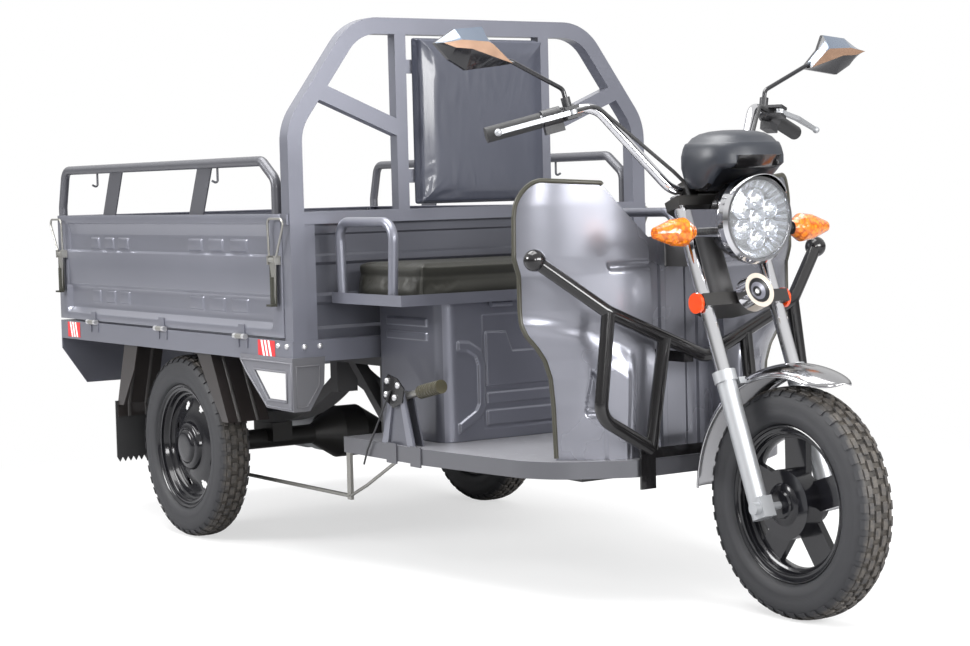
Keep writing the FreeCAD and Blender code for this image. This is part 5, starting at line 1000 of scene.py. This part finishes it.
# Side gates: pressed steel pans, grey, on bright hinges. Between the end posts the sheet folds in under the
# top edge, out to a broad middle panel, in again and out over a ledge, with small bumps along both folds.
# Zinc latches with ribbed dark sleeves hold them.
BED_HALF = 0.544
GATE_REAR, GATE_FRONT = AXLE_X - 0.706, AXLE_X + 0.655
GATE_POST, GATE_SLOPE = 0.052, 0.012
GATE_RETURN = 0.025
GATE_SHEET = 0.002
GATE_ROUND = 0.0018
GATE_FOLDS = ((0.868, 0.0), (0.846, 0.0), (0.843, 0.006), (0.814, 0.014), (0.806, 0.014), (0.802, 0.014),
              (0.777, 0.014), (0.773, 0.014), (0.769, 0.014), (0.764, 0.004), (0.672, 0.004), (0.664, 0.013),
              (0.657, 0.014), (0.653, 0.014), (0.624, 0.014), (0.620, 0.014), (0.610, 0.015), (0.602, 0.014),
              (0.588, 0.001), (0.585, 0.0), (0.568, 0.0))
GATE_BUMPS = ((0.155, 0.192), (0.225, 0.265), (0.292, 0.335), (0.615, 0.668), (0.700, 0.755), (0.790, 0.850))
BUMP_HEIGHTS = ((0.777, 0.802), (0.624, 0.653))
BUMP_LIFT = 0.004
BUMP_SLOPE_SHARE = 0.004
HINGE_EYE_LOW, HINGE_EYE_HIGH = 0.571, 0.60
HINGE_LEAF_TOP = 0.5565
SLEEVE_LOW, SLEEVE_TOP, SLEEVE_RADIUS, SLEEVE_OUT = 0.649, 0.716, 0.0085, 0.0105
LATCHES = (("front", 0.630), ("rear", -0.668))
HAIR = 1e-6


def gate_depth(share, level, depth):
    """How far in a point of the gate's sheet lies."""
    bumped = any(low - HAIR < share < high + HAIR for low, high in GATE_BUMPS)
    raised = any(low - HAIR < level < high + HAIR for low, high in BUMP_HEIGHTS)
    return depth - BUMP_LIFT if bumped and raised else depth


def gate_skin(side_sign):
    length = GATE_FRONT - GATE_REAR
    post, slope = GATE_POST / length, GATE_SLOPE / length
    shares = [0.0, post, post + slope, 1.0 - post - slope, 1.0 - post, 1.0]
    for low, high in GATE_BUMPS:
        shares += [low - BUMP_SLOPE_SHARE, low, high, high + BUMP_SLOPE_SHARE]
    shares = [0.0] + sorted(shares) + [1.0]
    rows = [(GATE_FOLDS[0][0], GATE_RETURN)] + list(GATE_FOLDS) + [(GATE_FOLDS[-1][0], GATE_RETURN)]
    skin = bmesh.new()
    grid = []
    for place, share in enumerate(shares):
        column = []
        for row, (level, depth) in enumerate(rows):
            if place in (0, len(shares) - 1) or row in (0, len(rows) - 1):
                inward = GATE_RETURN
            elif share < post + HAIR or share > 1.0 - post - HAIR:
                inward = 0.0
            else:
                inward = gate_depth(share, level, depth)
            spot = (GATE_REAR + share * length, side_sign * (BED_HALF - inward), level)
            column.append(skin.verts.new(spot))
        grid.append(column)
    knit(skin, grid, flip=side_sign > 0)
    return smooth(finished(skin, "gate skin", grey_paint))


def proud_faces(name, limit, *finishes):
    """The fittings of a construction piece that stand out past a limit across the vehicle."""
    grid = pared(name, lambda face: max(abs(vertex.co.y) for vertex in face.verts) < limit)
    return smooth(finished(grid, name + " fittings", *finishes))


sleeve_plastic = Finish("handle sleeve", (0.020, 0.020, 0.012), 0.48, vary=0.15)
sleeve_plastic.feed("Normal", (sleeve_plastic.shade.axis("Z").wave(420.0) > 0.86).bumped(0.7, 0.0012))
for side_sign, side_word in SIDES:
    skin = new_piece("side_gate_skin_" + side_word, gate_skin(side_sign), side_word + "_gate")
    sheet(skin, GATE_SHEET)
    rounding = skin.modifiers.new("folds", "BEVEL")
    rounding.width = GATE_ROUND
    rounding.segments = 2
    rounding.angle_limit = math.radians(14)
    crisp(skin, 40)
    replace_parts(skin, "side_gate_" + side_word)
    fittings = proud_faces("side_gate_" + side_word, BED_HALF + 0.0005, zinc, grey_paint)
    for polygon in fittings.polygons:
        polygon.material_index = 1 if HINGE_EYE_LOW < polygon.center.z < HINGE_EYE_HIGH else 0
    crisp(new_piece("side_gate_fittings_" + side_word, fittings, side_word + "_gate"))
    for word, spot in LATCHES:
        zinc.dress("latch_" + word + "_" + side_word)
        repaint("latch_" + word + "_" + side_word, sleeve_plastic, lambda spot, facing: spot.z < SLEEVE_TOP)
        handle = Vector((AXLE_X + spot, side_sign * (BED_HALF + SLEEVE_OUT), 0))
        run = [handle + Vector((0, 0, height)) for height in (SLEEVE_LOW, SLEEVE_TOP)]
        edging("latch_sleeve_" + word + "_" + side_word, run, SLEEVE_RADIUS, sleeve_plastic,
               word + "_" + side_word + "_latch")
bright_zinc.dress("gate_hinges")
repaint("gate_hinges", grey_paint, lambda spot, facing: spot.z < HINGE_LEAF_TOP)

# Corner guards: moulded grey plastic, darker across the front, screwed over the bed's front corners. A
# raised bead runs round each window, rim and front face.
BED_FRONT = AXLE_X + 0.698
GUARD_RIM = ((0.436, 0.508), (0.696, 0.508), (0.696, 0.397), (0.568, 0.399), (0.460, 0.484), (0.436, 0.508))
GUARD_WINDOW = ((0.503, 0.486), (0.672, 0.486), (0.672, 0.413), (0.575, 0.413), (0.503, 0.486))
GUARD_FACE = ((0.474, 0.500), (0.538, 0.500), (0.538, 0.402), (0.510, 0.402), (0.476, 0.452), (0.474, 0.500))
SIDE_BEAD, SIDE_BEAD_OUT = 0.003, 0.0045
FACE_BEAD, FACE_BEAD_OUT = 0.0025, 0.0040
guard_plastic = Finish("guard plastic", (0.125, 0.126, 0.142), 0.48, vary=0.05, grain=0.05, grain_scale=1500)
guard_plastic.dress("corner_guards")
guard_dark = Finish("guard front", (0.082, 0.082, 0.090), 0.50, vary=0.06, grain=0.05, grain_scale=1500)
repaint("corner_guards", guard_dark, lambda spot, facing: facing.x > 0.7)
for side_sign, side_word in SIDES:
    for word, outline in (("rim", GUARD_RIM), ("window", GUARD_WINDOW)):
        bead = [Vector((AXLE_X + x, side_sign * (BED_HALF + SIDE_BEAD_OUT), z)) for x, z in outline]
        edging("guard_" + word + "_" + side_word, bead, SIDE_BEAD, guard_plastic, "chassis")
    bead = [Vector((BED_FRONT + FACE_BEAD_OUT, side_sign * y, z)) for y, z in GUARD_FACE]
    edging("guard_face_" + side_word, bead, FACE_BEAD, guard_dark, "chassis")

# Mudguards: thin moulded sheet, brownish black, hung under the bed. They are the construction pieces, with
# two upright ribs down the middle of each panel in the shading, painted lighter as a painted highlight.
mud_plastic = Finish("mudguard plastic", (0.022, 0.018, 0.017), 0.36, vary=0.2, patch=9, Coat_Weight=0.2)
across = abs(mud_plastic.shade.axis("Y"))
upright_ribs = across.band(0.440, 0.448, 0.002) + across.band(0.492, 0.500, 0.002)
mud_plastic.feed("Normal", upright_ribs.bumped(0.9, 0.004))
# The ribs are painted lighter as a painted highlight.
mud_plastic.tint(upright_ribs * 0.45, (0.16, 0.155, 0.15))
mud_plastic.dress("rear_mudguards")

# Side markers: red reflective stickers along the bed's channel, each with three thin white slanted stripes.
# They are single sheets that lie just off the steel.
MARKER_LONG, MARKER_TALL, MARKER_OFF = 0.088, 0.043, 0.0006
MARKERS = (("rear", -0.657, 0.5155), ("front", 0.522, 0.5165))
STRIPES, STRIPE_HALF, STRIPE_SLANT = (0.0316, 0.0492, 0.0671), 0.0048, 0.29
marker_film = Finish("marker film", (0.60, 0.022, 0.026), 0.34, vary=0.10, patch=30, Coat_Weight=0.3)
slant = marker_film.shade.axis("X") + marker_film.shade.axis("Z") * STRIPE_SLANT
for middle in STRIPES:
    marker_film.tint(slant.band(middle - STRIPE_HALF, middle + STRIPE_HALF, 0.0006), (0.88, 0.86, 0.85))
for word, near, low in MARKERS:
    for side_sign, side_word in SIDES:
        corners = ((0, 0, 0), (MARKER_LONG, 0, 0), (MARKER_LONG, 0, MARKER_TALL), (0, 0, MARKER_TALL))
        sticker_mesh = bpy.data.meshes.new("side marker")
        sticker_mesh.from_pydata(corners[::-side_sign], [], [(0, 1, 2, 3)])
        sticker_mesh.materials.append(marker_film.material)
        new_piece("side_marker_" + word + "_" + side_word, sticker_mesh, "chassis",
                  (AXLE_X + near, side_sign * (BED_HALF + MARKER_OFF), low))

# Frame bolts: bright zinc domed heads, turned, on the bed's channel and its front cross member. They stand
# for the construction bolts.
BOLT_DOME = ((0.0, 0.0070), (0.003, 0.0068), (0.0052, 0.0048), (0.0060, 0.0))
CHANNEL_BOLTS, CHANNEL_HEIGHT = (0.627, 0.671), 0.5480
MEMBER_BOLTS, MEMBER_HEIGHT = (0.512, 0.469), 0.5470
bolts = []
for side_sign in (-1, 1):
    for x in CHANNEL_BOLTS:
        seat_at = Vector((AXLE_X + x, side_sign * BED_HALF, CHANNEL_HEIGHT))
        bolts.append(lathe("bolt", mirrored(BOLT_DOME, side_sign), 20, seat_at, "Y"))
    for y in MEMBER_BOLTS:
        bolts.append(lathe("bolt", BOLT_DOME, 20, Vector((BED_FRONT, side_sign * y, MEMBER_HEIGHT))))
bolt_heads = new_piece("frame_bolt_heads", joined("frame bolts", bolts, bright_zinc), "chassis")
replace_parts(bolt_heads, "frame_bolts")

# Fork: black iron yokes, chromed tubes and cast silver sliders, with orange reflectors on the tubes. All
# are construction pieces; the sliders run on the tubes.
black_metal.dress("fork_yokes")
chrome = Finish("chrome", (0.66, 0.66, 0.68), 0.09, 1.0, vary=0.03, rough_vary=0.03)
chrome.dress("fork_tubes")
silver.dress("fork_sliders")
reflector_orange = Finish("reflector orange", (0.90, 0.085, 0.012), 0.16, vary=0.12, patch=60,
                          Coat_Weight=0.7)
cells = [reflector_orange.shade.axis(letter).wave(1900.0) for letter in "XZ"]
reflector_orange.tint((cells[0] * cells[1] + 1.0) * 0.30, (0.45, 0.030, 0.006))
reflector_orange.dress("fork_reflectors")

# Front fender: a chromed spoon, arched across and swept over the tyre, with a rounded nose and rolled
# edges, its chrome a darker copy as painted dark reflections. Its stays, kept from the construction piece,
# reach the fork.
FENDER_AT = FRONT_AT + Vector((0.007, 0, 0))
FENDER_NOSE, FENDER_TAIL = math.radians(62), math.radians(178)
FENDER_ROUND = math.radians(13)
FENDER_CROWN, FENDER_EDGE, FENDER_HALF = 0.294, 0.268, 0.057
FENDER_SHEET = 0.0015
FENDER_LIP = 0.0022
FENDER_STEPS, FENDER_HALF_STEPS, LIP_START = 80, 12, 12
STAY_LIMIT = 0.0575


def fender_spot(angle, share):
    """A point of the fender, from its right edge (-1) over the crown to its left edge (1)."""
    ahead = min(1.0, (angle - FENDER_NOSE) / FENDER_ROUND)
    width = max(0.05, math.sqrt(1.0 - (1.0 - ahead) ** 2))
    turn = share * math.pi / 2
    drop = (FENDER_CROWN - FENDER_EDGE) * width * (1.0 - math.cos(turn))
    return FENDER_AT + on_wheel(FENDER_CROWN - drop, FENDER_HALF * width * math.sin(turn), angle)


spoon = bmesh.new()
angles = [FENDER_NOSE + (FENDER_TAIL - FENDER_NOSE) * (step / FENDER_STEPS) ** 1.15
          for step in range(FENDER_STEPS + 1)]
shares = [step / FENDER_HALF_STEPS for step in range(-FENDER_HALF_STEPS, FENDER_HALF_STEPS + 1)]
knit(spoon, [[spoon.verts.new(fender_spot(angle, share)) for share in shares] for angle in angles])
# The fender's chrome is a darker copy of the chrome, as painted dark reflections.
dim_fender_chrome = Finish("fender chrome painted dark reflections", (0.40, 0.40, 0.41), 0.16, 1.0, vary=0.05, patch=8, rough_vary=0.04)
fender = new_piece("front_fender_shell", smooth(finished(spoon, "fender", dim_fender_chrome)), "fork_lowers")
sheet(fender, FENDER_SHEET)
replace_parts(fender, "front_fender")
crisp(new_piece("front_fender_stays", proud_faces("front_fender", STAY_LIMIT, silver), "fork_lowers"))
for side_sign, side_word in SIDES:
    lip = [fender_spot(angle, side_sign) for angle in angles[LIP_START:]]
    edging("fender_lip_" + side_word, lip, FENDER_LIP, dim_fender_chrome, "fork_lowers", 6)

# Handlebar and controls: a chromed bar with rubber grips and cables, black switch housings and silver
# levers. All are construction pieces; the throttle grip and the levers turn on the bar.
chrome.dress("handlebar")
rubber.dress("left_grip", "throttle_grip", "control_cables")
black_plastic.dress("switch_housings")
silver.dress("brake_lever_right", "brake_lever_left")

# Headlamp: a gloss black shell with a chromed bezel and ring, and a polished bowl behind the clear lens,
# its face and every other flute flank painted dark as painted shade. The bowl holds seven small cups with
# their lamps and a ring of radial flutes. A short visor stands over it.
LAMP = Vector((AXLE_X + 1.764, 0, 0.839))
CUP_RADIUS = 0.0185
CUP_CIRCLE = 0.041
CUP_RIM = ((-0.004, CUP_RADIUS + 0.0012), (-0.012, CUP_RADIUS + 0.0022))
BULB_SECTION = ((-0.024, 0.004), (-0.014, 0.0042), (-0.011, 0.0025), (-0.010, 0.0))
FLUTES = 60
FLUTE_ENDS = ((0.0605, 0.020), (0.0822, 0.005))
FLUTE_DEPTH = 0.0060
BOWL_RADIUS = 0.0838
RING_SECTION = ((-0.034, 0.0885), (-0.030, 0.0925), (-0.010, 0.0945), (0.002, 0.0940), (0.0065, 0.0915),
                (0.0075, 0.0880), (0.0055, 0.0850), (0.0010, BOWL_RADIUS))
VISOR_START, VISOR_SPAN, VISOR_STEPS = 35, 110, 40
VISOR_REACH, VISOR_SHEET = 0.020, 0.0012


def on_lamp(ahead, radius, angle):
    return LAMP + Vector((ahead, radius * math.cos(angle), radius * math.sin(angle)))


black_gloss.dress("headlamp_shell")
chrome.dress("headlamp_bezel")
lamp_glass = Finish("lamp glass", (0.93, 0.95, 0.97), 0.06, vary=0.02, rough_vary=0.02,
                    Transmission_Weight=0.9, IOR=1.45)
lamp_glass.dress("headlamp_lens")
mirror_chrome = Finish("lamp reflector", (0.66, 0.67, 0.70), 0.12, 1.0, vary=0.04, patch=60, rough_vary=0.05)
# A darker copy of the reflector metal, as painted shade in the bowl.
bowl_painted_shade = Finish("lamp bowl painted shade", (0.26, 0.265, 0.28), 0.16, 1.0, vary=0.05, patch=60, rough_vary=0.05)
bulb_glow = Finish("small lamps", (0.9, 0.88, 0.75), 0.25, vary=0.05, Emission_Strength=0.6,
                   Emission_Color=(1.0, 0.96, 0.85, 1.0))
cup_section = [(-0.006 - 0.020 * (1 - (share / 6) ** 2), CUP_RADIUS * share / 6) for share in range(7)]
cup_section += CUP_RIM
cup_spots = [LAMP] + [on_lamp(0, CUP_CIRCLE, math.radians(60 * step + 30)) for step in range(6)]
cups = [lathe("cup", cup_section, 24, spot) for spot in cup_spots]
new_piece("headlamp_cups", joined("headlamp cups", cups, mirror_chrome), "steering")
bulbs = [lathe("bulb", BULB_SECTION, 12, spot) for spot in cup_spots]
new_piece("headlamp_bulbs", joined("headlamp bulbs", bulbs, bulb_glow), "steering")
flutes = bmesh.new()
for step in range(FLUTES):
    quad = []
    for turn, depth in ((-0.5, 0.0), (0.0, FLUTE_DEPTH), (0.5, 0.0)):
        spin = math.tau * (step + turn) / FLUTES
        quad += [flutes.verts.new(on_lamp(depth - back, radius, spin)) for radius, back in FLUTE_ENDS]
    flutes.faces.new((quad[0], quad[2], quad[3], quad[1]))
    flutes.faces.new((quad[2], quad[4], quad[5], quad[3])).material_index = step % 2
new_piece("headlamp_flutes", finished(flutes, "headlamp flutes", mirror_chrome, bowl_painted_shade), "steering")
repaint("headlamp_shell", bowl_painted_shade, lambda spot, facing: facing.x > 0.2
        and math.hypot(spot.y - LAMP.y, spot.z - LAMP.z) < BOWL_RADIUS)
ring_mesh = lathe("headlamp ring", RING_SECTION, 96, LAMP)
ring_mesh.materials.append(chrome.material)
new_piece("headlamp_ring", ring_mesh, "steering")
visor = bmesh.new()
visor_rows = []
for step in range(VISOR_STEPS + 1):
    angle = math.radians(VISOR_START + VISOR_SPAN * step / VISOR_STEPS)
    reach = VISOR_REACH * math.sin(math.pi * step / VISOR_STEPS) ** 0.6
    profile = ((0.000, 0.0948), (0.004 + reach * 0.5, 0.0955), (0.005 + reach, 0.0940))
    visor_rows.append([visor.verts.new(on_lamp(ahead, radius, angle)) for ahead, radius in profile])
knit(visor, visor_rows)
brow = new_piece("headlamp_visor", smooth(finished(visor, "headlamp visor", chrome)), "steering")
sheet(brow, VISOR_SHEET)

# Meter housing: a moulded black helmet over the lamp, with a brow line round its crown and a sunk gloss
# panel in front, darker for its gloss black and also as painted shade in the recess. It stands on a post
# from the upper yoke.
METER_X = AXLE_X + 1.686
METER_LEVELS = ((0.900, 0.070, 0.072), (0.906, 0.083, 0.086), (0.925, 0.095, 0.097), (0.950, 0.101, 0.102),
                (0.975, 0.101, 0.102), (0.992, 0.097, 0.098), (1.0005, 0.0935, 0.0945),
                (1.0025, 0.0915, 0.0925), (1.0040, 0.0875, 0.0885), (1.0140, 0.0790, 0.0800),
                (1.0225, 0.0640, 0.0650), (1.0275, 0.0440, 0.0450), (1.0295, 0.0220, 0.0225),
                (1.0300, 0.0, 0.0))
METER_LOW = METER_LEVELS[0][0]
METER_SIDES = 120
METER_SQUARENESS = 0.78
FRONT_LIFT, FRONT_LIFT_TALL = 0.046, 0.06
PANEL_DEPTH = 0.020
POST_RADIUS, POST_LONG, POST_BACK, POST_HEIGHT = 0.010, 0.14, 0.01, 0.845


def meter_spot(level, long, wide, angle):
    """A point of the helmet: a squarish oval at each level, its lower front cut up and its panel sunk."""
    ahead, across = (math.copysign(abs(value) ** METER_SQUARENESS, value)
                     for value in (math.cos(angle), math.sin(angle)))
    low_share = 1.0 - min(1.0, (level - METER_LOW) / FRONT_LIFT_TALL)
    lift = FRONT_LIFT * ease(-0.1, 0.6, math.cos(angle)) * low_share
    spot = Vector((METER_X + long * ahead, wide * across, level + lift))
    sunk = ease(0.064, 0.054, abs(spot.y)) * ease(0.975, 0.968, spot.z) * ease(0.0, 0.3, math.cos(angle))
    spot.x -= PANEL_DEPTH * sunk
    return spot


helmet = bmesh.new()
angles = [math.tau * step / METER_SIDES for step in range(METER_SIDES)]
rows = [[helmet.verts.new(meter_spot(*level, angle)) for angle in angles] for level in METER_LEVELS]
knit(helmet, rows, ring=True)
helmet.faces.new(rows[0][::-1])
bmesh.ops.remove_doubles(helmet, verts=helmet.verts, dist=1e-6)
post = bmesh.ops.create_cone(helmet, cap_ends=True, segments=20, radius1=POST_RADIUS, radius2=POST_RADIUS,
                             depth=POST_LONG)
bmesh.ops.translate(helmet, verts=post["verts"], vec=(METER_X - POST_BACK, 0, POST_HEIGHT))
meter_plastic = Finish("meter plastic", (0.021, 0.024, 0.031), 0.36, vary=0.15, grain=0.05, grain_scale=1800)
helmet_mesh = smooth(finished(helmet, "meter helmet", meter_plastic, black_gloss))
# The sunk panel and the lower rim wear gloss black; in the panel its darkness is also painted shade.
for polygon in helmet_mesh.polygons:
    spot = polygon.center
    sunk = abs(spot.y) < 0.060 and spot.z < 0.972 and spot.x > METER_X + 0.03
    polygon.material_index = 1 if sunk or spot.z < 0.915 else 0
meter = new_piece("meter_helmet", helmet_mesh, "steering")
crisp(meter, 38)
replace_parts(meter, "meter_housing")

# Horn: a pressed disc horn, the construction piece, on the lower yoke. Its face has a pale rim, a black
# dish with a grey ring and a bright centre bolt; its back is chromed.
RAKE = math.radians(21.2)
horn_low, horn_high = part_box("horn")
horn_at = (Vector(horn_low) + Vector(horn_high)) / 2
horn_face = Finish("horn face", (0.58, 0.52, 0.45), 0.34, 0.35, vary=0.06, patch=20)
face_x, face_y, face_z = (horn_face.shade.axis(letter) - middle for letter, middle in zip("XYZ", horn_at))
rise = face_z * math.cos(RAKE) - face_x * math.sin(RAKE)
from_bolt = (rise * rise + face_y * face_y) ** 0.5
horn_face.tint(from_bolt < 0.0275, (0.012, 0.012, 0.014))
horn_face.tint(from_bolt.band(0.0115, 0.0195, 0.0004), (0.16, 0.16, 0.19))
horn_face.tint(from_bolt < 0.0055, (0.62, 0.62, 0.62))
horn_face.dress("horn")
repaint("horn", chrome, lambda spot, facing: facing.x < 0.3)

# Turn signals: amber moulded teardrops with a prism pattern, on black ribbed rubber stalks from the fork.
# They are the construction pieces.
STALK_END = 0.139
stalk_rubber = Finish("stalk rubber", (0.014, 0.014, 0.015), 0.5, vary=0.15)
stalk_rubber.feed("Normal", stalk_rubber.shade.axis("Y").wave(1500.0).bumped(0.6, 0.0015))
amber_lens = Finish("amber lens", (0.66, 0.135, 0.002), 0.12, vary=0.10, patch=30, Coat_Weight=0.7,
                    Coat_Roughness=0.03, Subsurface_Weight=0.25, Subsurface_Scale=0.01)
prisms = [amber_lens.shade.axis(letter).wave(1400.0) for letter in "YZ"]
amber_lens.tint((prisms[0] * prisms[1] + 1.0) * 0.30, (0.95, 0.36, 0.008))
facets = amber_lens.shade.make("ShaderNodeTexVoronoi", {"Vector": amber_lens.shade.place(), "Scale": 105.0})
amber_lens.tint(facets.rise(0.30, 0.80) * 0.75, (0.30, 0.045, 0.001))
amber_lens.feed("Normal", facets.bumped(0.6, 0.003))
amber_lens.dress("turn_signals")
repaint("turn_signals", stalk_rubber, lambda spot, facing: abs(spot.y) < STALK_END)

# Mirrors: gloss black moulded heads on thin black stalks, which turn on the bar. The upper facets are
# painted a pale blue-grey as a painted reflection of the sky, the crease between upper and lower facets a
# copper brown as a painted reflection, and the back is the glass.
HEAD_START = 0.43
COPPER_REFLECTION_LOW = 1.17
mirror_black = Finish("mirror black", (0.010, 0.010, 0.012), 0.22, vary=0.2, Coat_Weight=0.4,
                      Coat_Roughness=0.05)
mirror_sky_reflection = Finish("mirror upper facets painted sky reflection", (0.15, 0.18, 0.23), 0.22, 0.55, vary=0.10, patch=14,
                    Coat_Weight=0.5)
mirror_copper_reflection = Finish("mirror painted copper reflection", (0.40, 0.25, 0.17), 0.24, 0.60, vary=0.22, patch=26, Coat_Weight=0.4)
mirror_glass = Finish("mirror glass", (0.80, 0.83, 0.86), 0.04, 1.0, vary=0.02, rough_vary=0.01)


def on_head(test):
    """Limit a test of faces to the mirror's head."""
    return lambda spot, facing: abs(spot.y) > HEAD_START and test(spot, facing)


for name in ("mirror_right", "mirror_left"):
    mirror_black.dress(name)
    # Upward facets carry a painted sky reflection; the front crease facets carry a painted copper reflection.
    repaint(name, mirror_sky_reflection, on_head(lambda spot, facing: facing.z > 0.45 and facing.x > 0.1))
    repaint(name, mirror_copper_reflection, on_head(lambda spot, facing: facing.x > 0.98 and spot.z > COPPER_REFLECTION_LOW))
    repaint(name, mirror_glass, on_head(lambda spot, facing: facing.x < -0.98))
